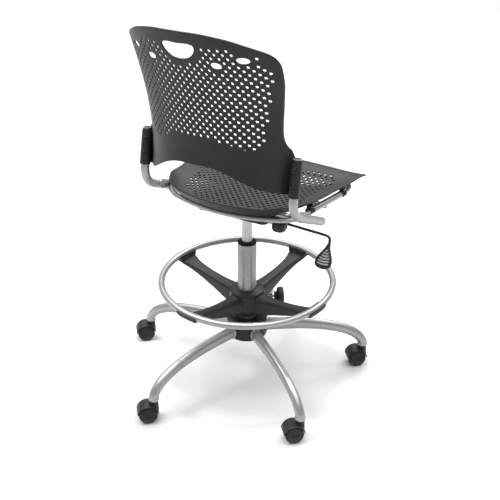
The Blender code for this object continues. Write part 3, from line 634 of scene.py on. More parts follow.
hold = ccw(smooth_path([Vector(p) for p in hold_keys], wrap=True, step=3.2))
ovals = []
for x, z, a, b, tilt in ((133.0, 991.5, 12.6, 7.4, -0.10), (80.0, 978.5, 11.8, 7.4, -0.12)):
    for s in (1, -1):
        ovals.append(ccw(loop_circle(s * x, z, a, 22, ry=b, tilt=s * tilt)))
EXTENT = {-9: 106, -8: 117, -7: 155, -6: 161, -5: 169, -4: 164, -3: 172, -2: 164, -1: 172, 0: 164, 1: 156, 2: 164,
          3: 156, 4: 164, 5: 156, 6: 147, 7: 155, 8: 147, 9: 155, 10: 147, 11: 140, 12: 148, 13: 140, 14: 148, 15: 140,
          16: 132}
openings = [(hold, 2.2)] + [(o, 1.3) for o in ovals]
for j in range(-9, 17):
    z = 927.6 - ROW * j
    shift = -0.25 if j % 2 == 0 else 0.25
    for k in range(-12, 13):
        x = PITCH * (k + shift)
        if abs(x) > EXTENT[j] + 2.0:
            continue
        p = Vector((x, z))
        if z < 800 and abs(x) < 55 or z < 790 and abs(x) < 72 or z < 780 and abs(x) < 98:
            continue
        if z > 993 and abs(x) < 46:
            continue
        if dist_to_loop(p, hold) < 13.5 or any(dist_to_loop(p, o) < 6.6 or inside(p, o) for o in ovals):
            continue
        if dist_to_loop(p, outline) < 11.0:
            continue
        openings.append((ccw(loop_circle(x, z, HOLE_R, 10)), 0.75))
back = perforated_shell(back_surface, outline, openings, SHELL, 8.0, 1.5, draw=Vector((0, 1, 0)))
piece("back_shell_perforated", back, M_SHELL, "seat", ["back_shell"], angle=50)

# sleeves that carry the shell on the back tubes, with screw bosses
SL_LOW, SL_TOP = Vector((206.0, 150.6, 650.0)), Vector((204.7, 132.2, 742.0))
for s, tag in ((1, "left"), (-1, "right")):
    a = Vector((s * SL_LOW.x, SL_LOW.y, SL_LOW.z))
    b = Vector((s * SL_TOP.x, SL_TOP.y, SL_TOP.z))
    h = (b - a).length
    ax = (b - a).normalized()
    out = (Vector((0, 1, 0)) - ax * ax.y).normalized()
    prof = rounded([(11.5, 12), (11.5, -0.2, 0.8), (13.7, -0.2, 1.0), (13.7, 5.0, 0.8), (13.3, 6.0, 0.5), (13.3, h - 9, 5.0),
                    (9.5, h - 0.5, 4.0), (0, h)], 1.0, 4)
    tube = lathe(prof + [], 40)
    tube = moved(tube, axis_matrix(a, ax))
    bosses = []
    for f in (0.70, 0.32):
        c = a.lerp(b, f) + out * 8.0
        bosses.append(moved(lathe(rounded([(0, 0), (7.4, 0), (7.4, 5.9, 1.3), (5.6, 5.9, 0.5), (5.4, 5.2, 0.3), (0, 5.2)]), 32),
                            axis_matrix(c, out)))
    piece("back_sleeve_" + tag, joined(tube, *bosses), M_SHELL, "seat", angle=40)
    for f, end in ((0.70, "upper"), (0.32, "lower")):
        c = a.lerp(b, f) + out * 13.2
        head = lathe(rounded([(0, 0), (4.3, 0), (4.3, 1.3, 0.8), (2.3, 2.3, 0.6), (2.2, 1.0, 0.1), (0, 1.0)]), 30)
        piece("sleeve_screw_%s_%s_head" % (end, tag), moved(head, axis_matrix(c, out)), M_SOCKET,
              "seat", ["sleeve_screw_%s_%s" % (end, tag)])

# ------------------------------------------------------------------- seat shell
REAR_W, FRONT_W, FRONT_Y = 158.0, 250.0, -187.0
SIDE_KEYS = ((-187.0, 250.0), (-150.0, 239.5), (-80.0, 219.0), (0.0, 204.5), (25.0, 202.5), (55.0, 194.0),
             (84.0, 178.5), (102.0, 167.5), (122.0, 152.0))

def seat_rear(x):
    return 163.0 - 1.65e-3 * x * x

def seat_front(x):
    return -206.0 + 19.0 * (x / FRONT_W) ** 2

side_path = smooth_path([Vector((y, w)) for y, w in SIDE_KEYS], step=3.0)
SIDE_FINE = [(p.x, p.y) for p in side_path]

def seat_half(y):
    return table(SIDE_FINE, y)

def seat_height(x, y):
    r = min(1.0, max(0.0, 1.0 - (seat_rear(x) - y) / 60.0))
    s = min(1.0, abs(x) / max(seat_half(y), 1.0))
    f = max(0.0, min(1.0, 1.0 - (y - seat_front(x)) / 130.0))
    lip = max(0.0, 1.0 - (y - seat_front(x)) / 28.0)
    q = max(0.0, min(1.0, (y + 35.0) / 115.0))
    q = q * q * (3 - 2 * q)
    a, b, c = 40.0 * r ** 2.6, (24.0 + 13.0 * q) * s ** (3.0 + 2.5 * q), 26.0 * f * f * (3 - 2 * f)
    return 558.0 + (a ** 3 + b ** 3 + c ** 3) ** (1 / 3.0) - 4.0 * lip * lip

def seat_surface(x, y):
    return Vector((x, y, seat_height(x, y)))

hs = [(0, 163), (40, seat_rear(40)), (80, seat_rear(80)), (115, seat_rear(115)), (135, seat_rear(135)), (148, 123.0),
      (159.5, 111.5), (169, 99.5), (178.5, 84), (185.7, 70), (194.0, 54.5), (200, 33.5), (204.5, 0), (211.5, -40), (219, -80),
      (228.5, -115), (239, -150), (245.5, -171), (249.5, -183), (248, -189.5), (240, -190.5), (200, -194), (120, -201.5), (60, -205)]
keys = [Vector(p) for p in hs] + [Vector((0, -206))] + [Vector((-x, y)) for x, y in reversed(hs[1:])]
seat_outline = ccw(smooth_path(keys, wrap=True, step=5.5))
seat_holes = []
j = -16
for j in range(-18, 12):
    y = 9.61 * j
    shift = 0.25 if j % 2 == 0 else -0.25
    for k in range(-16, 17):
        x = PITCH * (k + shift)
        if y < -158 or y > seat_rear(x) - 52 or abs(x) > seat_half(y) - 44:
            continue
        corner = (max(0.0, abs(x) - (seat_half(y) - 90)) / 46.0) ** 2 + (max(0.0, -y - 112.0) / 46.0) ** 2
        corner2 = (max(0.0, abs(x) - (seat_half(y) - 90)) / 46.0) ** 2 + (max(0.0, y - (seat_rear(x) - 98)) / 46.0) ** 2
        if corner > 1.0 or corner2 > 1.0:
            continue
        seat_holes.append((ccw(loop_circle(x, y, 3.9, 10)), 0.6))
seat = perforated_shell(seat_surface, seat_outline, seat_holes, 4.0, 9.0, 1.5)
seat_piece = piece("seat_shell_perforated", seat, M_SHELL, "seat", ["seat_shell"], angle=50)
# downward-facing faces of the seat get a darker copy of the shell plastic: painted shade on the bowl's outer wall and
# underside
seat_piece.data.materials.append(M_PAINTED_SHADE_UNDERSIDE)
for face in seat_piece.data.polygons:
    if face.normal.z < 0.0:
        face.material_index = 1

# =================================================================== base
piece("hub_casting", lathe(rounded([(25.3, 129, 0.6), (44.0, 129, 1.0), (46.0, 130.5, 0.8), (49.0, 129, 1.0), (53.5, 129.6, 2.5), (54.8, 134, 1.5), (55, 181, 4.0),
                                    (50.5, 186, 2.0), (30.5, 186.0, 1.0), (28.0, 184.6, 0.6), (25.3, 184.4, 0.4)],
                                   1.0, 5, closed=True), 96, closed=True), M_BLACK, "base", ["base_hub"])

LEG_ANGLES = (-91.0, -19.0, 53.0, 125.0, 197.0)
LEG_R, LEG_Z = 329.0, 62.0
LEG_LINE = [(50.5, 150.0, 12.5, 19.0), (76.0, 149.8, 12.4, 18.8), (100.0, 149.0, 12.3, 18.5), (150.0, 146.0, 12.1, 17.3),
            (200.0, 139.2, 12.0, 16.2), (232.0, 132.6, 12.0, 15.5), (261.0, 124.3, 12.0, 14.8),
            (290.0, 111.8, 12.2, 14.0), (311.0, 97.3, 12.5, 13.4), (323.3, 82.8, 12.8, 13.0),
            (LEG_R - 0.6, 73.0, 13.0, 13.0), (LEG_R, 66.0, 13.0, 13.0), (LEG_R, LEG_Z, 13.0, 13.0)]
leg_fine = smooth_path([Vector(p) for p in LEG_LINE], count=56)
for k, ang in enumerate(LEG_ANGLES, 1):
    d = radial(ang)
    pts = [d * q[0] + Vector((0, 0, q[1])) for q in leg_fine]
    secs = [[(q[2] * math.cos(2 * math.pi * j / 32), q[3] * math.sin(2 * math.pi * j / 32)) for j in range(32)]
            for q in leg_fine]
    leg = sweep(pts, secs, side=across(ang))
    leg.verts.ensure_lookup_table()
    for v in leg.verts[-32:]:
        v.co.z = LEG_Z + 0.4
    rim = lathe(rounded([(6.0, LEG_Z + 0.2), (13.6, LEG_Z, 0.8), (14.1, LEG_Z + 1.5, 0.8), (14.1, LEG_Z + 6.0, 0.8),
                         (13.3, LEG_Z + 7.2, 0.5), (12.4, LEG_Z + 7.0), (12.0, LEG_Z + 2.0), (6.0, LEG_Z + 2.0)], 0.6, 4,
                        closed=True), 40, closed=True)
    rim = moved(rim, Matrix.Translation(d * LEG_R))
    # weld collar where the leg meets the hub
    col = []
    for r, grow in ((53.2, 2.0), (56.0, 1.8), (57.2, 1.0), (58.4, 0.1)):
        col.append([d * r + across(ang) * ((12.5 + grow) * math.cos(2 * math.pi * j / 32))
                    + Vector((0, 0, 150.0 + (19.0 + grow) * math.sin(2 * math.pi * j / 32))) for j in range(32)])
    piece("leg_tube_%d" % k, joined(leg, rim, rings_to_bm(col)), M_SILVER, "base", ["leg_%d" % k])

# =================================================================== casters
WHEEL_R, WHEEL_W, WEB, TRAIL = 25.0, 17.5, 4.0, 17.0
TRAIL_DIR = Vector((0.773, 0.635, 0.0)).normalized()
yaw = math.atan2(TRAIL_DIR.y, TRAIL_DIR.x)
STEM_R = 5.5

def hood_bm():
    turn = Matrix.Rotation(math.radians(90), 4, 'X')

    def drum(r, halfw, n=64, edge=0.0):
        prof = [(0, -halfw), (r, -halfw, edge), (r, halfw, edge), (0, halfw)]
        return moved(lathe(rounded(prof, edge, 4), n, phase=math.pi / n),
                     Matrix.Translation((TRAIL, 0, WHEEL_R)) @ turn)
    body = drum(28.7, 21.0, 72, 3.2)
    body = combine(body, block((TRAIL - 40, -30, -10), (TRAIL + 40, 30, 29.0)), 'DIFFERENCE')
    neck = lathe(rounded([(0, 30), (12.8, 30), (11.6, 52, 2.0), (11.2, LEG_Z - 1.5, 1.0), (6.2, LEG_Z - 0.4, 0.5),
                          (STEM_R, LEG_Z - 0.1), (STEM_R, 84.0, 0.6), (4.6, 85.5, 0.3), (0, 85.5)], 1.0, 3), 40)
    body = combine(body, neck, 'UNION')
    body = combine(body, drum(20.2, WEB - 0.2, 56), 'UNION')
    for s in (1, -1):
        room = moved(lathe([(0, 0), (26.2, 0), (26.2, 30), (0, 30)], 72, phase=math.pi / 72),
                     Matrix.Translation((TRAIL, s * WEB, WHEEL_R)) @ Matrix.Rotation(math.radians(-90 * s), 4, 'X'))
        body = combine(body, room, 'DIFFERENCE')
    return body

def wheel_detail(s):
    w0, w1 = WEB + 0.5, WEB + 0.5 + WHEEL_W
    prof = rounded([(0, w1 - 1.2), (3.6, w1 - 1.2, 0.6), (4.6, w1 - 2.6, 0.6), (7.2, w1 - 2.9, 0.6), (8.2, w1 - 0.6, 0.9),
                    (15.2, w1 - 0.2, 0.9), (16.2, w1 - 1.5, 0.4), (17.2, w1 - 1.5, 0.4), (18.2, w1 - 0.4, 0.8),
                    (21.8, w1 - 0.9, 1.2), (25.0, w1 - 4.2, 2.4), (25.0, w0 + 1.8, 1.5), (23.0, w0, 0.8), (0, w0)], 0.8, 4)
    return moved(lathe(prof, 64), Matrix.Rotation(math.radians(-90 * s), 4, 'X'))

hood_master = hood_bm()
hood_mesh = bpy.data.meshes.new("hood_master")
hood_master.to_mesh(hood_mesh)
hood_master.free()
for k, ang in enumerate(LEG_ANGLES, 1):
    foot = radial(ang) * LEG_R
    place = Matrix.Translation(foot) @ Matrix.Rotation(yaw, 4, 'Z')
    bm = bmesh.new()
    bm.from_mesh(hood_mesh)
    piece("caster_fork_%d" % k, moved(bm, place), M_BLACK, "caster_%d" % k, ["caster_hood_%d" % k],
          bevel=0.7)
    for s, tag in ((1, "a"), (-1, "b")):
        bm = moved(wheel_detail(s), place @ Matrix.Translation((TRAIL, 0, WHEEL_R)))
        piece("wheel_%d%s_tread" % (k, tag), bm, M_WHEEL, "wheel_%d%s" % (k, tag),
              ["caster_wheel_%d%s" % (k, tag)])
bpy.data.meshes.remove(hood_mesh)

# =================================================================== column
piece("column_outer", lathe(rounded([(22.6, 409.4, 0.3), (25.0, 409.4, 0.8), (25.0, 131, 0.8), (6.0, 131, 0.5), (6.0, 135, 0.5), (22.6, 135, 0.5)], 0.5, 3, closed=True),
                            80, closed=True), M_COLUMN, "base", ["column_tube"])
piece("column_collar", lathe(rounded([(14.3, 412.6, 0.6), (17.2, 412.6, 0.3), (18.0, 411.9, 0.3), (19.4, 411.9, 0.3),
                                      (20.2, 412.6, 0.3), (24.5, 412.6, 0.8), (25.35, 411.4, 0.5), (25.35, 410.0, 0.3),
                                      (22.3, 409.8, 0.2), (22.3, 340, 0.3), (14.3, 340, 0.3)], 0.5, 4, closed=True), 80,
                             closed=True), M_BLACK, "base", ["column_bush"])
piece("piston_rod", lathe(rounded([(0, 182), (14.0, 182, 1.5), (14.0, 480, 1.0), (13.2, 504, 0.6), (4.4, 504, 0.3), (4.4, 494), (0, 494)], 0.4, 4), 64),
      M_STEEL, "lift", ["gas_piston"])

# =================================================================== foot ring and spider
RING_R, TUBE, RING_Z = 230.3, 9.0, 296.6
piece("footring_tube", lathe([(RING_R + a, RING_Z + b) for a, b in circle(28, TUBE)], 240, closed=True), M_SILVER,
      "footrest", ["footring"])
ARM_ANGLES = (78.4, -11.6, 168.4, -101.6)
KNOB_ANGLE, KNOB_Z = 123.4, 240.0
parts = [lathe(rounded([(25.3, 198, 0.6), (33.5, 198, 1.5), (38.7, 203, 3), (45.7, 218, 4), (47.3, 232, 3), (47.3, 264.5, 2.0),
                        (45.0, 268.6, 1.2), (30.0, 272.4, 1.2), (27.5, 273.2, 0.5), (25.3, 273.2, 0.4)], 1.0, 4, closed=True),
               96, closed=True)]
arm_line = [(30, 263.5, 207, 21.5), (48, 262.5, 209, 20.5), (62, 262.3, 213, 19.3), (80, 263.2, 219, 17.4),
            (95, 264.6, 225, 16.3), (112, 266.7, 231.5, 15.4), (130, 269.2, 238, 15.0), (146, 271.6, 244.5, 15.1),
            (160, 273.8, 250, 15.7), (175, 276.3, 256, 16.9), (188, 278.6, 262, 18.8), (198, 280.6, 266.5, 21.0),
            (207, 282.6, 270.5, 23.8), (216, 284.6, 275, 26.8), (224, 286.0, 279.5, 28.6)]
arm_fine = smooth_path([Vector(p) for p in arm_line], count=40)
for ang in ARM_ANGLES:
    d, s = radial(ang), across(ang)
    rings = []
    for q in arm_fine:
        r, top, low, w = q
        hh = (top - low) / 2
        mid = (top + low) / 2
        sec = []
        for j in range(36):
            a = 2 * math.pi * j / 36
            ca, sa = math.cos(a), math.sin(a)
            e = 0.42                                   # soft-cornered box section
            x = math.copysign(abs(ca) ** e, ca) * w
            z = math.copysign(abs(sa) ** e, sa) * hh
            if z > 0:
                z += 1.2 * (1 - (x / w) ** 2)
            sec.append(d * r + s * x + Vector((0, 0, mid + z)))
        rings.append(sec)
    parts.append(rings_to_bm(rings))
    # saddle: a half pipe under the tube with rounded lips and ends
    ro, ri = TUBE + 4.1, TUBE + 0.25
    prof = []
    for j in range(25):
        a = math.radians(170 + (366 - 170) * j / 24)
        prof.append((ro * math.cos(a), ro * math.sin(a)))
    lips = []
    for q in range(1, 6):                            # rounded lip on the outer side
        t = math.pi * q / 6
        rr, aa = (ro + ri) / 2 + (ro - ri) / 2 * math.cos(t), math.radians(366) + math.sin(t) * 0.12
        lips.append((rr * math.cos(aa), rr * math.sin(aa)))
    prof += lips
    inner = []
    for j in range(25):
        a = math.radians(366 - (366 - 170) * j / 24)
        inner.append((ri * math.cos(a), ri * math.sin(a)))
    prof += inner
    for q in range(1, 6):
        t = math.pi * q / 6
        rr, aa = (ro + ri) / 2 - (ro - ri) / 2 * math.cos(t), math.radians(170) - math.sin(t) * 0.12
        prof.append((rr * math.cos(aa), rr * math.sin(aa)))
    rings = []
    for i in range(19):
        f = -1 + 2 * i / 18
        a = ang + f * 7.6
        shrink = 1.0 if abs(f) < 0.93 else 0.93
        dd = radial(a)
        rings.append([dd * (RING_R + (x if abs(x) < ri + 0.01 else x * shrink)) + Vector((0, 0, RING_Z + z * (shrink if z < -ri else 1.0)))
                      for x, z in prof])
    parts.append(rings_to_bm(rings))
    # fairing between the arm and its saddle
    rings = []
    for i in range(13):
        f = -1 + 2 * i / 12
        dd = radial(ang + f * 7.2)
        depth = 1.0 - 0.55 * abs(f) ** 1.5
        rings.append([dd * (RING_R + x) + Vector((0, 0, RING_Z + z)) for x, z in
                      ((-12.6, -2.0), (-13.2 - 3.5 * depth, -8.0 - 4 * depth), (-9.0, -13.5 - 4.0 * depth),
                       (0.0, -13.6 - 2.2 * depth), (8.0, -11.8), (6.5, -9.5), (0, -10.8), (-7, -9.0))])
    parts.append(rings_to_bm(rings))
piece("footring_spider_moulding", joined(*parts), M_BLACK, "footrest", ["footring_spider"], angle=38)

kd = radial(KNOB_ANGLE)
kz = Vector((0, 0, KNOB_Z))
piece("clamp_boss", moved(lathe(rounded([(3.3, 38), (9.5, 40, 0.5), (9.5, 53, 1.4), (6.0, 54.5, 0.6), (3.3, 54.5)], 0.8, 3,
                                        closed=True), 32, closed=True), axis_matrix(kz, kd)), M_BLACK,
      "footrest")
thread = [(0, 26.2)]
z = 26.4
while z < 86:
    thread += [(2.55, z), (3.0, z + 0.5)]
    z += 1.0
thread += [(2.55, z), (0, z)]
piece("clamp_stud", moved(lathe(thread, 20), axis_matrix(kz, kd)), M_STEEL, "ring_knob", ["knob_stud"])
knob_parts = [moved(lathe(rounded([(3.1, 74), (12.6, 74, 1.0), (13.4, 76.5, 1.0), (12.4, 81.5, 1.5), (12.4, 90), (3.1, 90)],
                                  1.0, 4, closed=True), 48, closed=True), axis_matrix(kz, kd)),
              moved(lathe(rounded([(0, 81.8), (20.0, 81.8, 1.6), (24.2, 85.0, 2.2), (24.2, 96.0, 2.6), (20.0, 99.6, 1.8),
                                   (12.5, 99.2, 1.0), (11.2, 98.2, 0.5), (0, 98.2)], 1.0, 5), 90, lobes=5, depth=0.05),
                    axis_matrix(kz, kd))]
piece("clamp_knob", joined(*knob_parts), M_BLACK, "ring_knob", ["footring_knob"], angle=45)

# =================================================================== mechanism
PLATE_LOW, PLATE_UNDER, PLATE_TOP = 522.0, 528.7, 531.7
def rounded_rect(x0, y0, x1, y1, r, n=8):
    out = []
    for cx, cy, a0 in ((x1 - r, y1 - r, 0), (x0 + r, y1 - r, 90), (x0 + r, y0 + r, 180), (x1 - r, y0 + r, 270)):
        for k in range(n + 1):
            a = math.radians(a0 + 90.0 * k / n)
            out.append((cx + r * math.cos(a), cy + r * math.sin(a)))
    return out

def dished(outline_fn, levels):
    """Loft of rounded rectangles: levels are (inset, z)."""
    return rings_to_bm([[(x, y, z) for x, y in outline_fn(i)] for i, z in levels])

plate = dished(lambda i: rounded_rect(-100 + i, -92 + i, 100 - i, 88 - i, max(14 - i, 6)),
               [(0.6, PLATE_LOW), (0, PLATE_LOW + 0.6), (0, PLATE_TOP - 3.2), (0.5, PLATE_TOP - 1.4), (1.6, PLATE_TOP - 0.4),
                (3.2, PLATE_TOP)])
tray = dished(lambda i: rounded_rect(-100 + i, -92 + i, 100 - i, 88 - i, max(14 - i, 4)),
              [(2.6, PLATE_LOW - 4), (2.6, PLATE_UNDER - 2.6), (3.2, PLATE_UNDER - 1.0), (4.6, PLATE_UNDER)])
plate = combine(plate, tray, 'DIFFERENCE')
bolts = []
for x, y in ((-80, 66), (80, 66), (-80, -72), (80, -72)):
    b = lathe(rounded([(0, 0), (6.4, 0, 0.2), (6.4, 3.6, 0.6), (5.6, 4.2, 0.3), (0, 4.2)], 0.4, 2), 6)
    w = lathe(rounded([(0, -0.2), (8.4, -0.2, 0.2), (8.4, 1.2, 0.4), (0, 1.2)], 0.3, 2), 28)
    m4 = Matrix.Translation((x, y, PLATE_UNDER + 0.1)) @ Matrix.Rotation(math.pi, 4, 'X')
    bolts += [moved(b, m4), moved(w, m4)]
piece("mount_plate", plate, M_DARK, "seat", ["mech_plate"], angle=30)
piece("mount_bolts", joined(*bolts), M_SCREW, "seat", angle=30)
HL, HT = 507.0, PLATE_UNDER - 0.3
KNOB_Y, KNOB_Z2 = 38.0, 508.0
ka = axis_matrix((0, KNOB_Y, KNOB_Z2), (-1, 0, 0))
house = dished(lambda i: rounded_rect(-62 + i, -75 + i, 62 - i, 62 - i, max(11 - i * 0.6, 2)),
               [(3.2, HL), (1.2, HL + 0.6), (0.3, HL + 1.8), (0, HL + 3.4), (0, HT - 3.0), (-1.0, HT - 2.2), (-6, HT - 1.9), (-6, HT)])
house = combine(house, moved(lathe(rounded([(0, 30), (8.5, 30, 1.0), (8.5, 61.8, 1.5), (0, 61.8)], 1.0, 4), 40), ka), 'UNION')
house = combine(house, dished(lambda i: rounded_rect(-59.4 + i, -72.4 + i, 59.4 - i, 59.4 - i, 8),
                              [(2.5, 510), (0.6, 511.2), (0, 513), (0, 540)]), 'DIFFERENCE')
house = combine(house, lathe(rounded([(0, 485), (19.0, 485, 1.2), (20.4, 487.5, 1.0), (21.4, 492), (24.0, 500, 3.0), (24.4, 507.6, 0.3), (0, 507.6)],
                                     1.0, 4), 64), 'UNION')
for y0, y1 in ((-17.2, -14.2), (-4.4, -1.4)):
    lug = [(-58.0, 508.4), (-58.0, 489.0)] + [(-52.2 - 5.8 * math.cos(math.pi * q / 10), 489.6 - 5.6 * math.sin(math.pi * q / 10))
                                              for q in range(1, 10)] + [(-46.5, 489.0), (-46.5, 508.4)]
    house = combine(house, prism(lug, y0, y1, 1), 'UNION')
house = combine(house, lathe([(0, 470), (14.35, 470), (14.35, 530), (0, 530)], 64), 'DIFFERENCE')
house = combine(house, block((-46, -13, 504.5), (-8, 4, 513), 0.0), 'DIFFERENCE')
house = combine(house, moved(lathe([(0, 39.4), (5.4, 39.4), (5.4, 70), (0, 70)], 32), ka), 'DIFFERENCE')
# rivet heads where the lever's pin is clenched
rivets = []
for y, sy in ((-17.2, -1), (-1.4, 1)):
    rivets.append(moved(lathe(rounded([(0, -0.4), (3.6, -0.4), (3.6, 0.5, 0.4), (2.4, 1.6, 0.6), (0, 2.0)], 0.5, 3), 24),
                        axis_matrix((-52, y, 490), (0, sy, 0))))
piece("lever_pin", joined(*rivets), M_SCREW, "seat", angle=40)
piece("mech_case", house, M_DARK, "seat", ["mech_housing"], angle=32)
piece("tension_spindle", moved(lathe(rounded([(0, 40), (5, 40, 0.5), (5, 116, 0.5), (0, 116)], 0.5, 2), 32), ka), M_STEEL,
      "tension", ["tension_bolt"])
tk = lathe(rounded([(5.2, 101), (18.0, 101.0, 1.2), (20.8, 104, 1.5), (21.2, 110, 1.0), (20.8, 120.5, 2.5), (17.0, 129.5, 4),
                    (9.0, 133.2, 3), (0, 133.5)], 1.0, 5), 96, lobes=24, depth=0.012)
piece("tension_knob_moulding", moved(tk, ka), M_BLACK, "tension", ["tension_knob"], angle=45)

# lever
NECK = Vector((-240.3, 13.5, 470.0))
lever_keys = [(1, 0, 515), (-18, -2, 515), (-30, -4.5, 513.6), (-42, -7.5, 502), (-52, -9.3, 492.4), (-66, -9.2, 490),
              (-120, -4.4, 490), (-180, 0.7, 490), (-222, 4.3, 490), (-232, 5.2, 489.4), (-238, 6.6, 486.4), (-240.2, 9.2, 480.5),
              tuple(NECK), tuple(NECK + Vector((-0.1, 5.0, -9.0)))]
piece("lever_wire", sweep(smooth_path([Vector(k) for k in lever_keys], count=110), circle(20, 3.5)), M_DARK,
      "lever", ["lever_rod"])
PAD_DIR = Vector((0.0, 0.67, -0.742)).normalized()
PAD_NRM = Vector((0.0, 0.742, 0.67)).normalized()
pad_org = NECK - PAD_DIR * 3.0
outline_keys = [(0.0, 4.2), (6.0, 5.0), (14.0, 8.2), (24.0, 13.6), (34.0, 18.4), (44.0, 21.6), (51.0, 22.2), (57.5, 20.2),
                (62.5, 15.5), (65.3, 8.0), (66.0, 0.0)]
right = smooth_path([Vector(k) for k in outline_keys], count=30)
pad_loop = [(q.x, q.y) for q in right] + [(q.x, -q.y) for q in reversed(right[:-1])]
pad_loop = [Vector(q) for q in pad_loop]

def pad_ring(inset, h):
    c = Vector((38.0, 0.0))
    loop = offset_loop(ccw(pad_loop), inset) if inset > 0.01 else ccw(pad_loop)
    return [pad_org + PAD_DIR * q.x + Vector((1, 0, 0)) * q.y + PAD_NRM * h for q in loop]

rim_levels = [(2.6, -4.6), (0.9, -3.9), (0.1, -2.2), (0.0, 0.0), (0.1, 2.2), (0.9, 3.9), (2.4, 4.6), (3.9, 4.3), (4.6, 3.2), (4.8, 2.0)]
piece("lever_pad", rings_to_bm([pad_ring(i, h) for i, h in rim_levels]), M_GRIP, "lever", ["lever_paddle"],
      angle=50)
# ribbed grey insert: bars across the recess, cut to the recess outline
ins_loop = offset_loop(ccw(pad_loop), 5.0)
floor_bm = rings_to_bm([[pad_org + PAD_DIR * q.x + Vector((1, 0, 0)) * q.y + PAD_NRM * h for q in offset_loop(ccw(pad_loop), i)]
                        for i, h in ((4.7, 1.0), (4.7, 1.9), (5.0, 2.1))])
piece("lever_pad_floor", floor_bm, M_GRIP, "lever", angle=40)
ribs = []
for t in (17.0, 24.0, 31.0, 38.0, 45.0, 52.0):
    w = max([abs(q.y) for q in ins_loop if abs(q.x - t) < 3.0] or [4.0]) - 1.4
    if w < 2.5:
        continue
    prof = [(-2.5, 1.9), (-2.3, 3.4), (-1.2, 4.5), (1.2, 4.5), (2.3, 3.4), (2.5, 1.9)]
    rings = []
    for i in range(13):
        f = -1 + 2 * i / 12
        k = 1.0 if abs(f) < 0.9 else 0.55
        bow = 2.6 * (1 - f * f)
        rings.append([pad_org + PAD_DIR * (t + bow + a * k) + Vector((1, 0, 0)) * (w * f) + PAD_NRM * (1.9 + (h - 1.9) * k)
                      for a, h in prof])
    ribs.append(rings_to_bm(rings))
piece("lever_pad_insert", joined(*ribs), M_RIB, "lever", angle=40)

# =================================================================== seat frame
RZ, RR, SLV, BAR = 556.0, 6.5, 8.6, 7.5
def rear_rail(x):
    return 134.0 - 49.0 * (x / 185.0) ** 2
hl = [(0, rear_rail(0)), (60, rear_rail(60)), (115, rear_rail(115)), (152, rear_rail(152)), (174, 85), (186.5, 70),
      (188.5, 48), (191, 15), (203.5, -45), (216, -105), (220, -135), (214, -160), (192, -172), (120, -176), (60, -177)]
loop = [(x, y, RZ) for x, y in hl] + [(0, -177, RZ)] + [(-x, y, RZ) for x, y in reversed(hl[1:])]
path = smooth_path(loop, count=240, wrap=True)
tan = tangents(path, True)
piece("seat_ring_tube", rings_to_bm([[p + t.cross(Vector((0, 0, 1))) * a + Vector((0, 0, b)) for a, b in circle(24, RR)]
                                     for p, t in zip(path, tan)], wrap=True), M_SILVER, "seat", ["seat_ring"])
for s, tag in ((1, "left"), (-1, "right")):
    a, b = Vector((s * 191.6, 12, RZ)), Vector((s * 215.2, -101, RZ))
    L = (b - a).length
    rail = lathe(rounded([(6.6, 0, 0.2), (SLV, 0, 0.9), (SLV, L, 0.9), (6.6, L, 0.2)], 0.6, 4, closed=True), 48, closed=True)
    piece("side_rail_" + tag, moved(rail, axis_matrix(a, b - a)), M_SILVER, "seat", ["side_sleeve_" + tag])
for y, tag in ((45.0, "rear"), (-55.0, "front")):
    zc = RZ - SLV - BAR - 0.35
    x1 = 188.5 if y > 0 else 199.5
    bar = lathe(rounded([(0, -x1), (BAR, -x1, 1.2), (BAR, x1, 1.2), (0, x1)], 1.0, 4), 36)
    piece("frame_bar_" + tag, moved(bar, axis_matrix((0, y, zc), (1, 0, 0))), M_SILVER, "seat",
          ["cross_bar_" + tag])
gus_keys = [(102, 566.5), (102.5, 575), (102, 584), (97, 586.8), (86, 584), (66, 574.5), (52, 568.5), (44, 566), (42, 562),
            (42, 556), (45, 552), (60, 553.5), (84, 559.5)]
for s, tag in ((1, "left"), (-1, "right")):
    x0, x1 = sorted((s * 195.0, s * 198.6))
    loop2 = [(q.x, q.y) for q in smooth_path([Vector(k) for k in gus_keys], wrap=True, step=2.2)]
    piece("gusset_plate_" + tag, prism(loop2, x0, x1, 0), M_SILVER, "seat", ["gusset_" + tag], bevel=0.5)

UP = [(204.9, 132.0, 741.0), (205.6, 136.0, 722.0), (206, 142.4, 690.0), (206, 150.6, 650), (206, 152.2, 636), (206.3, 151.0, 624),
      (206.8, 146.6, 611.5), (207.3, 138.8, 599.5), (207.9, 128, 589.6), (208.4, 116.6, 582.2), (209, 97, 572.2),
      (210, 73, 560.6), (211, 50, 549), (212, 27, 537.4), (213.8, 6.4, 527.1)]
stub = (Vector((213.8, 6.4, 527.1)) - Vector((211, 50, 549))).normalized()
for s, tag in ((1, "left"), (-1, "right")):
    pts = smooth_path([Vector((s * x, y, z)) for x, y, z in UP], count=90)
    piece("back_tube_" + tag, sweep(pts, circle(32, 11.0)), M_SILVER, "seat", ["upright_" + tag])
    sd = Vector((s * stub.x, stub.y, stub.z))
    end = pts[-1]
    capm = lathe(rounded([(0, -0.4), (10.6, -0.4), (10.6, 0.2, 0.1), (11.1, 0.5, 0.3), (11.1, 1.8, 0.8), (9.4, 4.4, 1.6), (5.0, 6.0, 2), (0, 6.4)],
                         0.8, 4), 40)
    piece("tube_plug_" + tag, moved(capm, axis_matrix(end, sd)), M_SILVER, "seat", ["end_cap_" + tag])

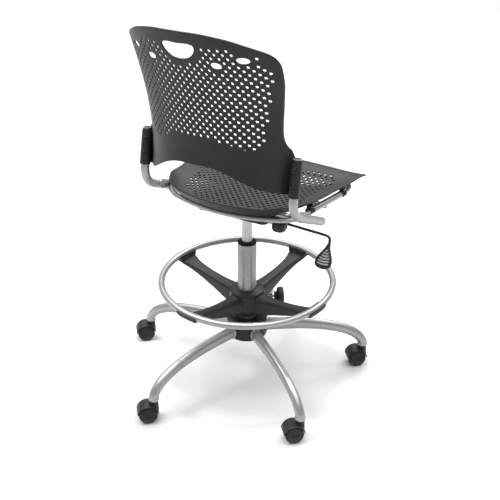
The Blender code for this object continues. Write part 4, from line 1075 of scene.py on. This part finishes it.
# black clips that hold the seat shell on its rails
for s, tag in ((1, "left"), (-1, "right")):
    for (x, y), end in (((188.4, 21.0), "rear"), ((217.6, -110.0), "front")):
        top = min(seat_height(s * x + dx, y + dy) for dx in (-6, 0, 6) for dy in (-6, 0, 6)) - 3.4
        axis = Vector((s * 24.5, -120, 0)).normalized()
        ringp = lathe(rounded([(6.6, -7.5, 0.2), (9.6, -7.5, 1.0), (9.6, 7.5, 1.0), (6.6, 7.5, 0.2)], 0.8, 4, closed=True), 36,
                      closed=True)
        ringp = moved(ringp, axis_matrix((s * x, y, RZ), axis))
        stem = dished(lambda i: [(s * x + a, y + b) for a, b in rounded_rect(-7.2 + i, -7.2 + i, 7.2 - i, 7.2 - i, 2.5)],
                      [(0.6, RZ + 7.5), (0, RZ + 9), (0, min(top, 579) - 1), (0.8, min(top, 579))])
        piece("seat_clip_%s_%s_moulding" % (end, tag), joined(ringp, stem), M_BLACK, "seat",
              ["seat_clip_%s_%s" % (end, tag)])

# CAD nodes that stay as they are
for n in ("release_button",):
    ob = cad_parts[n]
    ob.data.materials.clear()
    ob.data.materials.append(M_DARK)

# =================================================================== floor, light, camera
floor_m, nt, b = new_mat("studio_floor")
geo = node(nt, "ShaderNodeNewGeometry").outputs["Position"]
col = mix_colour(nt, noise(nt, geo, 1.2, 2.0), (0.54, 0.54, 0.542), (0.56, 0.56, 0.562))
nt.links.new(col, b.inputs["Base Color"])
b.inputs["Roughness"].default_value = 0.75
b.inputs["Specular IOR Level"].default_value = 0.25
fm = bpy.data.meshes.new("studio_floor")
fb = bmesh.new()
bmesh.ops.create_grid(fb, x_segments=2, y_segments=2, size=14.0)
fb.to_mesh(fm)
fb.free()
fm.materials.append(floor_m)
floor = bpy.data.objects.new("studio_floor", fm)
floor.location = (0, 0, 0.0)
scene.collection.objects.link(floor)

world = bpy.data.worlds.new("studio")
world.use_nodes = True
bg = world.node_tree.nodes["Background"]
bg.inputs[0].default_value = (1.0, 1.0, 1.0, 1.0)
bg.inputs[1].default_value = 0.42
scene.world = world

cth, sth = math.cos(math.radians(29.0)), math.sin(math.radians(29.0))
def to_chair(x, y, z):
    """Camera-side frame (x right, y away) to the chair's own frame."""
    return Vector((-(x * cth - y * sth), -(x * sth + y * cth), z))

def area(name, pos, aim, size, power, colour=(1, 1, 1)):
    ld = bpy.data.lights.new(name, 'AREA')
    ld.shape = 'RECTANGLE'
    ld.size, ld.size_y = size
    ld.energy = power
    ld.color = colour
    ob = bpy.data.objects.new(name, ld)
    scene.collection.objects.link(ob)
    p = C + to_chair(*pos)
    ob.location = p
    ob.rotation_euler = (C + to_chair(*aim) - p).to_track_quat('-Z', 'Y').to_euler()
    return ob

area("overhead", (0.0, 1.7, 5.6), (0, 1.7, 0.0), (11.0, 11.0), 1060)
area("key", (-1.55, -0.15, 2.9), (0, 0, 0.5), (1.0, 1.0), 46)
area("spot", (0.02, 0.08, 3.3), (0, 0, 0.0), (0.35, 0.35), 44)
area("rim", (1.3, 1.6, 2.4), (0, 0, 0.6), (1.0, 1.0), 20)

cam_d = bpy.data.cameras.new("camera")
cam_d.sensor_width = 36.0
cam_d.lens = 68.18
cam_d.clip_end = 100
cam = bpy.data.objects.new("camera", cam_d)
scene.collection.objects.link(cam)
cam.location = C + to_chair(0.0, -2.2, 1.594)
pitch, yw = math.radians(28.77), math.radians(0.20)
fw = to_chair(math.sin(yw) * math.cos(pitch), math.cos(yw) * math.cos(pitch), -math.sin(pitch))
cam.rotation_euler = fw.to_track_quat('-Z', 'Y').to_euler()
scene.camera = cam
scene.view_settings.view_transform = 'Standard'
